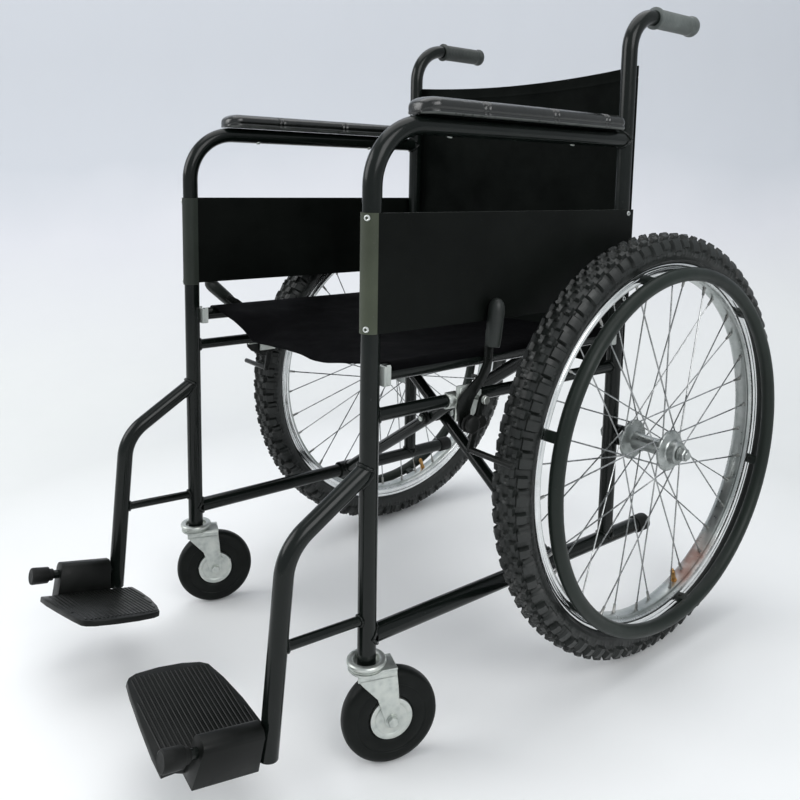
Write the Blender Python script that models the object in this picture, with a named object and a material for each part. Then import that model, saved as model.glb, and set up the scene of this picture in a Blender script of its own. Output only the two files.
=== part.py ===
"""Folding wheelchair: tube side frames, cross brace, spoked rear wheels and swivel casters.

Sizes are millimetres in the chair's own frame: X to the occupant's left, Y to the back, Z up,
with the frame rails level and every moving piece straight. Each piece is shaped there, goes to
metres, and hangs on an empty that lies on its joint. The empties turn the casters, tilt the
footplates and lean the whole chair back until casters and rear tyres stand on one floor.
"""
import math

import bmesh
import bpy
from mathutils import Matrix, Quaternion, Vector

MM = 0.001
SIDES = (("left", 1), ("right", -1))
ORIGINS = {}

# Finishes: colour, roughness, metallic
FINISHES = {
    "frame_paint": ((0.012, 0.016, 0.015), 0.22, 0.0),
    "panel_paint": ((0.016, 0.020, 0.020), 0.34, 0.0),
    "handrim_paint": ((0.020, 0.030, 0.026), 0.38, 0.0),
    "brake_paint": ((0.011, 0.012, 0.013), 0.40, 0.0),
    "chrome": ((0.58, 0.57, 0.55), 0.14, 1.0),
    "zinc": ((0.46, 0.47, 0.47), 0.36, 1.0),
    "rubber": ((0.010, 0.010, 0.010), 0.72, 0.0),
    "solid_tyre": ((0.020, 0.021, 0.023), 0.60, 0.0),
    "grip_rubber": ((0.017, 0.018, 0.020), 0.55, 0.0),
    "vinyl": ((0.009, 0.010, 0.011), 0.42, 0.0),
    "cloth": ((0.010, 0.011, 0.013), 0.86, 0.0),
    "plate_plastic": ((0.013, 0.014, 0.016), 0.50, 0.0),
    "pale_plastic": ((0.42, 0.46, 0.42), 0.50, 0.0),
}

# Clearances: WELD_GAP parts welded tubes, GAP seats one piece on another, RUN_GAP lets it turn
WELD_GAP = 0.6
GAP = 0.35
RUN_GAP = 0.4

# Side frames
X_FRAME = 236.5
Y_BACK = 438.5
R_MAIN = 11.1
R_MID = 7.9
R_BRACE = 6.0
Z_BOTTOM_RAIL = 145.2
Z_MID_RAIL = 409.0
Z_ARM_TUBE = 735.5
Z_HANDLE = 909.0
ARM_BEND = 70.0
BEND_STEPS = 5
RAIL_TAIL = 94.5
RAIL_CAP_LENGTH = 26.0
RAIL_CAP_WALL = 1.8

# Push handles: the two grips reach slightly different distances behind the back posts
HANDLE_REACH = {"left": 148.5, "right": 156.5}
GRIP_LENGTH = 97.0
GRIP_WALL = 2.5
GRIP_FLANGE = 4.4
HANDLE_STUB = 7.0

# Armrest pads
PAD_START = 57.0
PAD_STOP = 23.5
PAD_HALF = 25.5
PAD_HEIGHT = 20.5
PAD_GROOVES = (145.0, 265.0, 367.0)
GROOVE_HALF = 4.0

# Side panels: sheet wrapped round the front post and laid on the outside of the back post
PANEL_LIFT = 48.3
PANEL_HEIGHT = 133.0
PANEL_SHEET = 1.2
PANEL_TAIL = 10.5

# Seat tubes, saddles and cross brace
R_CROSS = 9.5
Z_SEAT_TUBE = 456.7
SEAT_TUBE_START = 16.5
SEAT_TUBE_TAIL = 14.0
TUBE_PLUG = 3.0
SADDLE_WALL = 1.95
SADDLE_LENGTH = 9.6
SADDLE_FLOOR = 3.35
Y_CROSS = 302.5
CROSS_STEP = 12.5
SLEEVE_HALF = 16.0
SLEEVE_WALL = 3.1
PIVOT_BOLT = 5.0
PIVOT_HEAD = 11.0
PIVOT_NUT = 9.0

# Cloth seat and back
CLOTH = 2.5
CLOTH_GAP = 0.4
SEAT_FRONT = 38.0
SEAT_SKEW = 15.0
SEAT_STOP = 30.5
SEAT_SAG = 15.0
BACK_LOW = 402.0
BACK_HIGH = 838.0
BACK_SAG = 9.0
BACK_SLACK = 12.0

# Rear wheels
WHEEL_OFFSET = 66.5
AXLE_SETBACK = 10.1
Z_AXLE = 305.0
R_RIM = 262.0
TYRE_HEIGHT = 43.0
KNOB_HEIGHT = 3.0
TREAD_STATIONS = 48
TYRE_HALF = 24.3
RIM_HALF = 16.0
RIM_WALL = 2.4
RIM_DEPTH = 19.0
BEAD_DEPTH = 7.4
R_AXLE = 6.0
BOSS_RADIUS = 15.0
BOSS_IN = 11.7
BOSS_OUT = 15.5
HUB_IN = 47.5
HUB_OUT = 46.0
HUB_RADIUS = 12.0
FLANGE_RADIUS = 29.0
FLANGE_IN = 33.0
FLANGE_OUT = 29.0
FLANGE_THICK = 3.0
WHEEL_SIDES = 36
SPOKES = 36
SPOKE_RADIUS = 1.25
SPOKE_SIDES = 3
SPOKE_SWEEP_DEG = 62.0
HANDRIM_OFFSET = 40.5
HANDRIM_INSET = 12.0
HANDRIM_TUBE = 9.6
TABS = 6
TAB_WIDE = 14.0
TAB_THICK = 9.0

# Casters
R_CASTER = 58.5
CASTER_HALF = 12.2
CASTER_DISC = 26.4
CASTER_TRAIL = 28.5
Z_CASTER = 42.1
CASTER_TURN_DEG = 20.0
CROWN_CLEAR = 1.8
CROWN_THICK = 6.2
FORK_SHEET = 2.5
FORK_CLEAR = 1.1
CASTER_BOLT = 4.0
RACE_HEIGHT = 9.5
RACE_WALL = 12.4

# Footrest hangers and the pin on each, which rises to the front
HANGER_TOP_Z = 349.9
HANGER_KNEE = (-107.0, 281.0)
HANGER_FOOT = (-129.0, 51.0)
HANGER_BEND = 60.0
STRUT_POST_Z = 168.0
STRUT_RISE = 3.6
FOOT_PIN_Z = 78.0
FOOT_RISE_DEG = 11.3
FOOT_REST_DEG = 10.0
PIN_REACH = 123.6
PIN_CLEAR = 0.5
KNOB_LENGTH = 23.0
KNOB_RADIUS = 12.5
KNOB_NECK = 7.0

# Footplates: fronts, rears and starts are measured along the pin from the hanger's middle
HINGE_START = 20.6
HINGE_END = 89.6
HINGE_HALF = 12.75
HINGE_TOP = 16.0
HINGE_BEVEL = 5.0
PLATE_DROP = 26.0
PLATE_THICK = 7.5
PLATE_FRONT = 110.6
PLATE_REAR = -20.4
PLATE_WIDTH = 158.0
PLATE_TAPER_FRONT = 12.0
PLATE_TAPER_REAR = 18.0
PLATE_RIBS = 8
RIB_START = 4.0
RIB_PITCH = 12.0
RIB_HEIGHT = 1.5
RIB_NEAR = 18.0
RIB_FAR = 153.0

# Brakes, placed from the tyre's front at the height of the rail that carries them
BRAKE_DROP = 26.0
SHOE_STEP = 22.0
SHOE_ANGLE_DEG = 171.86
SHOE_CLEAR = 8.8
SHOE_RADIUS = 4.0
SHOE_LENGTH = 77.0
BRACKET_SHEET = 3.0
LEVER_HEIGHT = 111.0
LEVER_SHEET = 4.0
LEVER_STUD = 3.5
SHOE_SHEET = 4.2
SHOE_STUD = 3.0
LEVER_GRIP_LENGTH = 60.0
LEVER_GRIP_RADIUS = 10.4
LEVER_SET_DEG = 53.0
SHOE_RATIO = 0.125

# Derived places
Y_AXLE = Y_BACK + AXLE_SETBACK
PAD_END = Y_BACK - PAD_STOP
SEAT_REAR = Y_BACK - SEAT_STOP
PANEL_LOW = Z_SEAT_TUBE + PANEL_LIFT
PANEL_HIGH = PANEL_LOW + PANEL_HEIGHT
X_WHEEL = X_FRAME + WHEEL_OFFSET
R_TYRE = R_RIM + TYRE_HEIGHT
R_WELL = R_RIM - RIM_DEPTH
R_HANDRIM = R_RIM - HANDRIM_INSET
X_HANDRIM = X_WHEEL + HANDRIM_OFFSET
Z_PIVOT = (Z_BOTTOM_RAIL + Z_SEAT_TUBE) / 2
Z_CROWN = Z_CASTER + R_CASTER + CROWN_CLEAR
Z_RACE = Z_CROWN + CROWN_THICK + RUN_GAP
AXLE = (Y_AXLE, Z_AXLE)
TYRE_FRONT = Y_AXLE - math.sqrt(R_TYRE ** 2 - (Z_MID_RAIL - Z_AXLE) ** 2)
SHOE_PIVOT = (TYRE_FRONT - SHOE_CLEAR, Z_MID_RAIL + 1.0)
BRAKE_PIVOT = (SHOE_PIVOT[0] - SHOE_STEP, Z_MID_RAIL - BRAKE_DROP)


def clear_scene():
    for old in list(bpy.data.objects):
        bpy.data.objects.remove(old, do_unlink=True)


def make_materials():
    """One Principled material for each finish."""
    for name, (colour, roughness, metallic) in FINISHES.items():
        material = bpy.data.materials.new(name)
        material.use_nodes = True
        shader = material.node_tree.nodes["Principled BSDF"]
        shader.inputs["Base Color"].default_value = (*colour, 1.0)
        shader.inputs["Roughness"].default_value = roughness
        shader.inputs["Metallic"].default_value = metallic


def carrier(name, parent, origin, axis=(0, 0, 1), degrees=0.0):
    """An empty on a joint: it carries the pieces of one body and can turn them about the axis."""
    empty = bpy.data.objects.new(name, None)
    bpy.context.scene.collection.objects.link(empty)
    ORIGINS[name] = Vector(origin)
    if parent:
        empty.parent = bpy.data.objects[parent]
        empty.location = (ORIGINS[name] - ORIGINS[parent]) * MM
    empty.rotation_mode = "QUATERNION"
    empty.rotation_quaternion = Quaternion(Vector(axis), math.radians(degrees))
    return empty


def attach(obj, holder, finish):
    """Hang a finished piece on its empty, in metres, with its material."""
    obj.data.transform(Matrix.Scale(MM, 4) @ Matrix.Translation(-ORIGINS[holder]))
    obj.parent = bpy.data.objects[holder]
    obj.data.materials.clear()
    obj.data.materials.append(bpy.data.materials[finish])
    obj.data.shade_smooth()
    obj.data.set_sharp_from_angle(angle=math.radians(40.0))


def new_object(name, body):
    """Turn a bmesh into an object with its faces turned outwards."""
    bmesh.ops.remove_doubles(body, verts=body.verts, dist=0.0005)
    bmesh.ops.recalc_face_normals(body, faces=body.faces)
    mesh = bpy.data.meshes.new(name)
    body.to_mesh(mesh)
    body.free()
    obj = bpy.data.objects.new(name, mesh)
    bpy.context.scene.collection.objects.link(obj)
    return obj


def axis_point(axis, along, a, b):
    """A point with one coordinate along the axis and two across it."""
    if axis == "X":
        return Vector((along, a, b))
    if axis == "Y":
        return Vector((a, along, b))
    return Vector((a, b, along))


def facing(point, ahead):
    """A matrix that puts local Z along a direction."""
    return Matrix.Translation(point) @ ahead.to_track_quat("Z", "Y").to_matrix().to_4x4()


def block(name, corners, reach):
    """A flat face of any outline, extruded by a vector."""
    body = bmesh.new()
    face = body.faces.new([body.verts.new(corner) for corner in corners])
    grown = bmesh.ops.extrude_face_region(body, geom=[face])["geom"]
    moved = [item for item in grown if isinstance(item, bmesh.types.BMVert)]
    bmesh.ops.translate(body, verts=moved, vec=reach)
    return new_object(name, body)


def prism(name, outline, axis, low, high):
    """A flat outline extruded along one axis."""
    corners = [axis_point(axis, low, a, b) for a, b in outline]
    return block(name, corners, axis_point(axis, high - low, 0.0, 0.0))


def turned(name, profile, axis, centre, sides):
    """A turned piece: points (along, radius) spun once round; off the axis they close to a ring."""
    body = bmesh.new()
    verts = []
    for along, radius in profile:
        verts.append(body.verts.new(axis_point(axis, along, centre[0] + radius, centre[1])))
    edges = [body.edges.new(pair) for pair in zip(verts, verts[1:])]
    if profile[0][1] > 0.0:
        edges.append(body.edges.new((verts[-1], verts[0])))
    bmesh.ops.spin(body, geom=verts + edges, cent=axis_point(axis, 0.0, *centre),
                   axis=axis_point(axis, 1.0, 0.0, 0.0), angle=2 * math.pi, steps=sides, use_merge=True)
    return new_object(name, body)


def stepped(start, steps):
    """A turned profile from steps of (length, radius), closed onto the axis at both ends."""
    profile = [(start, 0.0)]
    along = start
    for length, radius in steps:
        profile.append((along, radius))
        along += length
        profile.append((along, radius))
    profile.append((along, 0.0))
    return profile


def outward(profile, s, start=0.0):
    """A profile along X, laid out from a start on one side of the chair."""
    return [(s * (start + along), radius) for along, radius in profile]


def rods(name, lines, radius, sides=12):
    """Plain round bars, each between two points."""
    body = bmesh.new()
    for start, end in lines:
        start, end = Vector(start), Vector(end)
        bmesh.ops.create_cone(body, cap_ends=True, segments=sides, radius1=radius, radius2=radius,
                              depth=(end - start).length, matrix=facing((start + end) / 2, end - start))
    return new_object(name, body)


def tube(name, points, radius, bends=(), sides=12):
    """A round tube: straight runs between the points, with a spun bend at each inner one."""
    points = [Vector(point) for point in points]
    body = bmesh.new()
    here = points[0]
    ring = bmesh.ops.create_circle(body, cap_ends=True, segments=sides, radius=radius,
                                   matrix=facing(here, points[1] - here))["verts"]
    edges = list(ring[0].link_faces[0].edges)
    for i in range(1, len(points)):
        corner = points[i]
        back = (points[i - 1] - corner).normalized()
        stop = corner
        if i < len(points) - 1:
            onward = (points[i + 1] - corner).normalized()
            half = back.angle(onward) / 2
            stop = corner + back * (bends[i - 1] / math.tan(half))
        grown = bmesh.ops.extrude_edge_only(body, edges=edges)["geom"]
        moved = [item for item in grown if isinstance(item, bmesh.types.BMVert)]
        bmesh.ops.translate(body, verts=moved, vec=stop - here)
        edges = rim_edges(moved)
        if i < len(points) - 1:
            middle = corner + (back + onward).normalized() * (bends[i - 1] / math.sin(half))
            spun = bmesh.ops.spin(body, geom=moved + edges, cent=middle, axis=onward.cross(back).normalized(),
                                  angle=math.pi - 2 * half, steps=BEND_STEPS)["geom_last"]
            moved = [item for item in spun if isinstance(item, bmesh.types.BMVert)]
            edges = rim_edges(moved)
            here = corner + onward * (bends[i - 1] / math.tan(half))
    bmesh.ops.holes_fill(body, edges=edges, sides=sides)
    return new_object(name, body)


def rim_edges(verts):
    """The open edges between neighbouring points of one ring."""
    inside = set(verts)
    edges = {edge for vert in verts for edge in vert.link_edges}
    return [edge for edge in edges if edge.verts[0] in inside and edge.verts[1] in inside]


def loft(name, sections, closed=False):
    """Quads between neighbouring sections; an open row has both its ends filled."""
    body = bmesh.new()
    rings = [[body.verts.new(point) for point in section] for section in sections]
    pairs = list(zip(rings, rings[1:]))
    if closed:
        pairs.append((rings[-1], rings[0]))
    else:
        body.faces.new(rings[0])
        body.faces.new(rings[-1])
    for near, far in pairs:
        for k in range(len(near)):
            m = (k + 1) % len(near)
            body.faces.new((near[k], near[m], far[m], far[k]))
    return new_object(name, body)


def sheet(name, line, thickness, axis, low, high):
    """A bent sheet: a line of points given a thickness and carried along one axis."""
    line = [Vector(point) for point in line]
    sections = []
    for i, point in enumerate(line):
        ahead = (line[min(i + 1, len(line) - 1)] - line[max(i - 1, 0)]).normalized()
        across = Vector((-ahead.y, ahead.x)) * (thickness / 2)
        a, b = point + across, point - across
        sections.append([axis_point(axis, low, *a), axis_point(axis, high, *a), axis_point(axis, high, *b),
                         axis_point(axis, low, *b)])
    return loft(name, sections)


def combine(target, other, operation):
    """A boolean, applied at once, with its tool removed."""
    step = target.modifiers.new("combine", "BOOLEAN")
    step.operation = operation
    step.solver = "EXACT"
    step.object = other
    view = bpy.context.evaluated_depsgraph_get()
    result = bpy.data.meshes.new_from_object(target.evaluated_get(view))
    target.modifiers.remove(step)
    old = target.data
    target.data = result
    result.name = target.name
    bpy.data.meshes.remove(old)
    bpy.data.objects.remove(other, do_unlink=True)
    body = bmesh.new()
    body.from_mesh(result)
    bmesh.ops.remove_doubles(body, verts=body.verts, dist=0.002)
    bmesh.ops.dissolve_degenerate(body, dist=0.001, edges=body.edges)
    bmesh.ops.dissolve_limit(body, angle_limit=math.radians(0.05), verts=body.verts, edges=body.edges)
    body.to_mesh(result)
    body.free()
    return target


def cope(target, start, end):
    """Cut the end of a tube to the round of the main tube that it is welded to."""
    return combine(target, rods("cope", [(start, end)], R_MAIN + WELD_GAP), "DIFFERENCE")


def arc(centre, radius, start, end, steps):
    """Points on an arc, angles in degrees."""
    out = []
    for k in range(steps + 1):
        turn = math.radians(start + (end - start) * k / steps)
        out.append((centre[0] + radius * math.cos(turn), centre[1] + radius * math.sin(turn)))
    return out


def bowed(start, end, bow, steps):
    """Points from start towards end along a shallow bow, to the right of the way it runs."""
    a, b = Vector(start), Vector(end)
    across = Vector((b.y - a.y, a.x - b.x)).normalized()
    return [a.lerp(b, k / steps) + across * (4 * bow * k / steps * (1 - k / steps)) for k in range(steps)]


def post_line(s, y):
    """Two points on the axis of a front or back post, past every tube that meets it."""
    return (s * X_FRAME, y, 0.0), (s * X_FRAME, y, Z_HANDLE)


def hanger_at(z):
    """The Y of a hanger's straight lower leg at a height."""
    run = (z - HANGER_KNEE[1]) / (HANGER_FOOT[1] - HANGER_KNEE[1])
    return HANGER_KNEE[0] + (HANGER_FOOT[0] - HANGER_KNEE[0]) * run


def pin_frame(s):
    """The footplate pin's root in the hanger, its rising direction and the normal to it."""
    rise = math.radians(FOOT_RISE_DEG)
    root = Vector((s * X_FRAME, hanger_at(FOOT_PIN_Z), FOOT_PIN_Z))
    return root, Vector((0, -math.cos(rise), math.sin(rise))), Vector((0, math.sin(rise), math.cos(rise)))


def caster_lean():
    """How far the level frame turns back for casters and rear tyres to stand on one floor."""
    dy = Y_AXLE - CASTER_TRAIL * math.cos(math.radians(CASTER_TURN_DEG))
    dz = Z_AXLE - Z_CASTER
    return math.atan2(dz, dy) - math.asin((R_TYRE - R_CASTER) / math.hypot(dy, dz))


def make_carriers():
    """The empties: chair, frames and cross brace in a chain, and each side's moving pieces."""
    carrier("chair", None, (0, 0, 0), (1, 0, 0), -math.degrees(caster_lean()))
    carrier("right_frame", "chair", (-X_FRAME, Y_CROSS - CROSS_STEP, Z_BOTTOM_RAIL))
    carrier("cross_front", "right_frame", (-X_FRAME, Y_CROSS - CROSS_STEP, Z_BOTTOM_RAIL))
    carrier("cross_rear", "cross_front", (0, Y_CROSS, Z_PIVOT))
    carrier("left_frame", "cross_rear", (X_FRAME, Y_CROSS + CROSS_STEP, Z_BOTTOM_RAIL))
    for side, s in SIDES:
        frame = side + "_frame"
        root, ahead, _ = pin_frame(s)
        carrier(side + "_wheel", frame, (s * X_WHEEL, *AXLE))
        carrier(side + "_swivel", frame, (s * X_FRAME, 0, Z_CROWN), (0, 0, 1), -CASTER_TURN_DEG)
        carrier(side + "_caster", side + "_swivel", (s * X_FRAME, CASTER_TRAIL, Z_CASTER))
        carrier(side + "_footrest_pin", frame, root, ahead, -s * FOOT_REST_DEG)
        lever_turn = LEVER_SET_DEG if side == "right" else 0.0
        carrier(side + "_brake_pivot", frame, (s * lever_face(), *BRAKE_PIVOT), (1, 0, 0), lever_turn)
        carrier(side + "_shoe_pivot", frame, (s * shoe_face(), *SHOE_PIVOT), (1, 0, 0), lever_turn * SHOE_RATIO)


def build_posts(side, s):
    """Front post with its arm loop, and back post with its push handle and axle boss."""
    x = s * X_FRAME
    front = tube(side + "_front_post", [(x, 0, Z_RACE + 1.5), (x, 0, Z_ARM_TUBE), (x, Y_BACK, Z_ARM_TUBE)],
                 R_MAIN, [ARM_BEND])
    attach(cope(front, *post_line(s, Y_BACK)), side + "_frame", "frame_paint")

    end = Y_BACK + HANDLE_REACH[side]
    bend = HANDLE_REACH[side] - GRIP_LENGTH - 0.5
    back = tube(side + "_back_post", [(x, Y_BACK, Z_BOTTOM_RAIL), (x, Y_BACK, Z_HANDLE),
                                      (x, end - HANDLE_STUB, Z_HANDLE)], R_MAIN, [bend])
    cope(back, (x, 0, Z_BOTTOM_RAIL), (x, 2 * Y_BACK, Z_BOTTOM_RAIL))
    boss_in, boss_out = s * (X_FRAME - BOSS_IN), s * (X_FRAME + BOSS_OUT)
    combine(back, rods("boss", [((boss_in, *AXLE), (boss_out, *AXLE))], BOSS_RADIUS, 14), "UNION")
    spare = s * 10.0
    hole = rods("hole", [((boss_in - spare, *AXLE), (boss_out + spare, *AXLE))], R_AXLE + RUN_GAP)
    attach(combine(back, hole, "DIFFERENCE"), side + "_frame", "frame_paint")


def build_rails(side, s):
    """Bottom rail with its end cap, and the thinner rail under the seat."""
    x = s * X_FRAME
    end = Y_BACK + RAIL_TAIL
    rail = rods(side + "_bottom_rail", [((x, 0, Z_BOTTOM_RAIL), (x, end, Z_BOTTOM_RAIL))], R_MAIN)
    attach(cope(rail, *post_line(s, 0)), side + "_frame", "frame_paint")
    bore = R_MAIN + GAP
    outer = bore + RAIL_CAP_WALL
    tip = end + 5.0
    start = tip - RAIL_CAP_LENGTH
    cap = [(end + GAP, 0.0), (end + GAP, bore), (start, bore), (start, outer), (tip - 2.0, outer),
           (tip, outer - 1.7), (tip, 0.0)]
    attach(turned(side + "_rail_tip", cap, "Y", (x, Z_BOTTOM_RAIL), 12), side + "_frame", "rubber")
    rail = rods(side + "_mid_rail", [((x, 0, Z_MID_RAIL), (x, Y_BACK, Z_MID_RAIL))], R_MID)
    cope(rail, *post_line(s, 0))
    attach(cope(rail, *post_line(s, Y_BACK)), side + "_frame", "frame_paint")


def build_hanger(side, s):
    """Bent footrest tube with its hinge pin, its brace to the post and the pin's knob."""
    x = s * X_FRAME
    knee, foot = (x, *HANGER_KNEE), (x, *HANGER_FOOT)
    hanger = tube(side + "_hanger_tube", [(x, 0, HANGER_TOP_Z), knee, foot], R_MAIN, [HANGER_BEND])
    cope(hanger, *post_line(s, 0))
    root, ahead, up = pin_frame(s)
    pin_end = PIN_REACH - 17.0
    combine(hanger, rods("pin", [(root, root + ahead * pin_end)], R_BRACE), "UNION")
    attach(hanger, side + "_frame", "frame_paint")

    strut_end = STRUT_POST_Z + STRUT_RISE
    strut_line = ((x, hanger_at(strut_end), strut_end), (x, 0, STRUT_POST_Z))
    strut = rods(side + "_hanger_brace", [strut_line], R_BRACE, 10)
    cope(strut, *post_line(s, 0))
    attach(cope(strut, knee, foot), side + "_frame", "frame_paint")

    bore = R_BRACE + GAP
    knob_start = PIN_REACH - KNOB_LENGTH
    waist = KNOB_RADIUS - 3.5
    profile = [(pin_end + 1.0, 0.0), (pin_end + 1.0, bore), (knob_start - KNOB_NECK, bore),
               (knob_start - KNOB_NECK, waist), (knob_start - 2.0, waist), (knob_start, KNOB_RADIUS),
               (PIN_REACH - 3.0, KNOB_RADIUS), (PIN_REACH, KNOB_RADIUS - 2.5), (PIN_REACH, 0.0)]
    knob = turned(side + "_pin_knob", profile, "Z", (0.0, 0.0), 12)
    knob.data.transform(facing(root, ahead))
    attach(knob, side + "_frame", "grip_rubber")


def build_arm_pad(side, s):
    """Moulded pad with rounded ends and cross grooves."""
    bottom = Z_ARM_TUBE + R_MAIN + GAP
    section = [(-0.92, 0.0), (-1.0, 0.3), (-0.92, 0.76), (-0.5, 1.0), (0.5, 1.0), (0.92, 0.76), (1.0, 0.3),
               (0.92, 0.0)]
    stations = [(PAD_START, 0.42, 0.6), (PAD_START + 3, 0.66, 0.85), (PAD_START + 9, 0.86, 0.97),
                (PAD_START + 19, 1.0, 1.0)]
    for groove in PAD_GROOVES:
        stations += [(groove - GROOVE_HALF, 1.0, 1.0), (groove, 0.97, 0.92), (groove + GROOVE_HALF, 1.0, 1.0)]
    stations += [(PAD_END - 17, 1.0, 1.0), (PAD_END - 7, 0.88, 0.95), (PAD_END - 2, 0.7, 0.8),
                 (PAD_END, 0.48, 0.6)]
    rings = []
    for y, wide, tall in stations:
        rings.append([Vector((s * X_FRAME + a * wide * PAD_HALF, y, bottom + b * tall * PAD_HEIGHT))
                      for a, b in section])
    attach(loft(side + "_arm_pad", rings), side + "_frame", "vinyl")


def build_side_panel(side, s):
    """Sheet on the outside of the posts, wrapped round the front post."""
    middle = R_MAIN + RUN_GAP + PANEL_SHEET / 2
    tail = Y_BACK + PANEL_TAIL
    line = [(-middle, R_MAIN / 2)] + arc((0.0, 0.0), middle, 180, 360, 10) + [(middle, tail)]
    line = [(s * (X_FRAME + a), b) for a, b in line]
    panel = sheet(side + "_side_panel", line, PANEL_SHEET, "Z", PANEL_LOW, PANEL_HIGH)
    attach(panel, side + "_frame", "panel_paint")


def build_grip(side, s):
    """Rubber push grip with a flange at its front end and a rounded rear end."""
    end = Y_BACK + HANDLE_REACH[side]
    bore = R_MAIN + GAP
    wall = bore + GRIP_WALL
    flange = end - GRIP_LENGTH
    stub = end - HANDLE_STUB + GAP
    profile = [(stub, 0.0), (stub, bore), (flange, bore), (flange, bore + GRIP_FLANGE),
               (flange + 4.0, bore + GRIP_FLANGE), (flange + 6.0, wall - 0.7), (end - 35.0, wall),
               (end - 7.0, wall), (end - 1.0, bore - GAP), (end, 0.0)]
    grip = turned(side + "_push_grip", profile, "Y", (s * X_FRAME, Z_HANDLE), 14)
    attach(grip, side + "_frame", "grip_rubber")


def build_saddles(side, s):
    """Plastic blocks on the posts; the seat tube drops into their open tops."""
    inner = R_CROSS + GAP
    low = Z_SEAT_TUBE - inner - SADDLE_FLOOR
    lip = Z_SEAT_TUBE + R_CROSS
    half = inner + SADDLE_WALL
    outline = [(-half, low + 1.5), (-half + 1.8, low), (half - 1.8, low), (half, low + 1.5), (half, lip),
               (inner, lip + 2.0)]
    outline += arc((0.0, Z_SEAT_TUBE), inner, 0, -180, 8) + [(-inner, lip + 2.0), (-half, lip)]
    outline = [(s * X_FRAME + a, b) for a, b in outline]
    front = R_MAIN + GAP
    rear = Y_BACK - front
    for name, start in (("_front_saddle", front), ("_rear_saddle", rear - SADDLE_LENGTH)):
        attach(prism(side + name, outline, "Y", start, start + SADDLE_LENGTH), side + "_frame", "pale_plastic")


def bracket_face():
    """Inner face of the brake bracket, outside the mid rail."""
    return X_FRAME + R_MID + RUN_GAP


def lever_face():
    """Inner face of the brake lever, outside the bracket."""
    return bracket_face() + BRACKET_SHEET + 1.8


def shoe_face():
    """Inner face of the shoe arm, outside the lever."""
    return lever_face() + LEVER_SHEET + 4.0


def build_brake_bracket(side, s):
    """Clamp plate on the mid rail with the studs of the lever and of the shoe arm."""
    y, z = BRAKE_PIVOT
    top = Z_MID_RAIL + 19.0
    end = SHOE_PIVOT[0] + 9.0
    outline = [(y - 9, z + 17), (y - 9, top), (y + 15, top), (end, top - 10), (end, SHOE_PIVOT[1] - 8),
               (y + 12, z - 11), (y - 10, z - 11)]
    face = bracket_face()
    root = face + BRACKET_SHEET / 2
    plate = prism(side + "_brake_bracket", outline, "X", s * face, s * (face + BRACKET_SHEET))
    line = [(s * (X_FRAME + a), b) for a, b in arc((0.0, Z_MID_RAIL), R_MID + GAP + 1.0, -100, 100, 7)]
    combine(plate, sheet("strap", line, 2.0, "Y", y - 35.0, y + 19.0), "UNION")
    past_lever = lever_face() + LEVER_SHEET + 8.6 - root
    past_shoe = shoe_face() + SHOE_SHEET + RUN_GAP - root
    knob = stepped(root, [(past_lever, LEVER_STUD), (5.5, LEVER_STUD + 10.0), (2.5, LEVER_STUD + 6.5)])
    stud = stepped(root, [(past_shoe, SHOE_STUD), (2.1, SHOE_STUD + 2.5)])
    combine(plate, turned("knob", outward(knob, s), "X", BRAKE_PIVOT, 10), "UNION")
    combine(plate, turned("stud", outward(stud, s), "X", SHOE_PIVOT, 10), "UNION")
    attach(plate, side + "_frame", "zinc")


def build_brake_lever(side, s):
    """Flat lever bar with a round rubber grip."""
    y, z = BRAKE_PIVOT
    face = lever_face()
    shares = [(-0.08, -0.036), (-0.045, -0.08), (0.036, -0.08), (0.08, -0.027), (0.117, 0.2), (0.243, 0.604),
              (0.351, 0.82), (0.369, 0.982), (0.293, 1.0), (0.266, 0.847), (0.162, 0.649), (-0.19, 0.396),
              (-0.207, 0.315), (-0.09, 0.036)]
    outline = [(y + LEVER_HEIGHT * a, z + LEVER_HEIGHT * b) for a, b in shares]
    lever = prism(side + "_brake_lever", outline, "X", s * face, s * (face + LEVER_SHEET))
    length, radius = LEVER_GRIP_LENGTH, LEVER_GRIP_RADIUS
    profile = [(0.0, 0.0), (0.0, radius - 1.6), (length / 4, radius - 0.4), (length - 16, radius),
               (length - 6, radius - 1.8), (length - 0.7, radius - 5.9), (length, 0.0)]
    grip = turned("grip", profile, "Z", (0.0, 0.0), 10)
    middle = s * (face + LEVER_SHEET / 2 + radius - 1.0)
    foot = Vector((middle, y + LEVER_HEIGHT * 0.315, z + LEVER_HEIGHT * 0.82))
    grip.data.transform(facing(foot, Vector((0, 0.095, 1.0))))
    combine(lever, grip, "UNION")
    hole = rods("hole", [((s * (face - 9), y, z), (s * (face + 9), y, z))], LEVER_STUD + RUN_GAP)
    attach(combine(lever, hole, "DIFFERENCE"), side + "_brake_pivot", "brake_paint")


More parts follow.
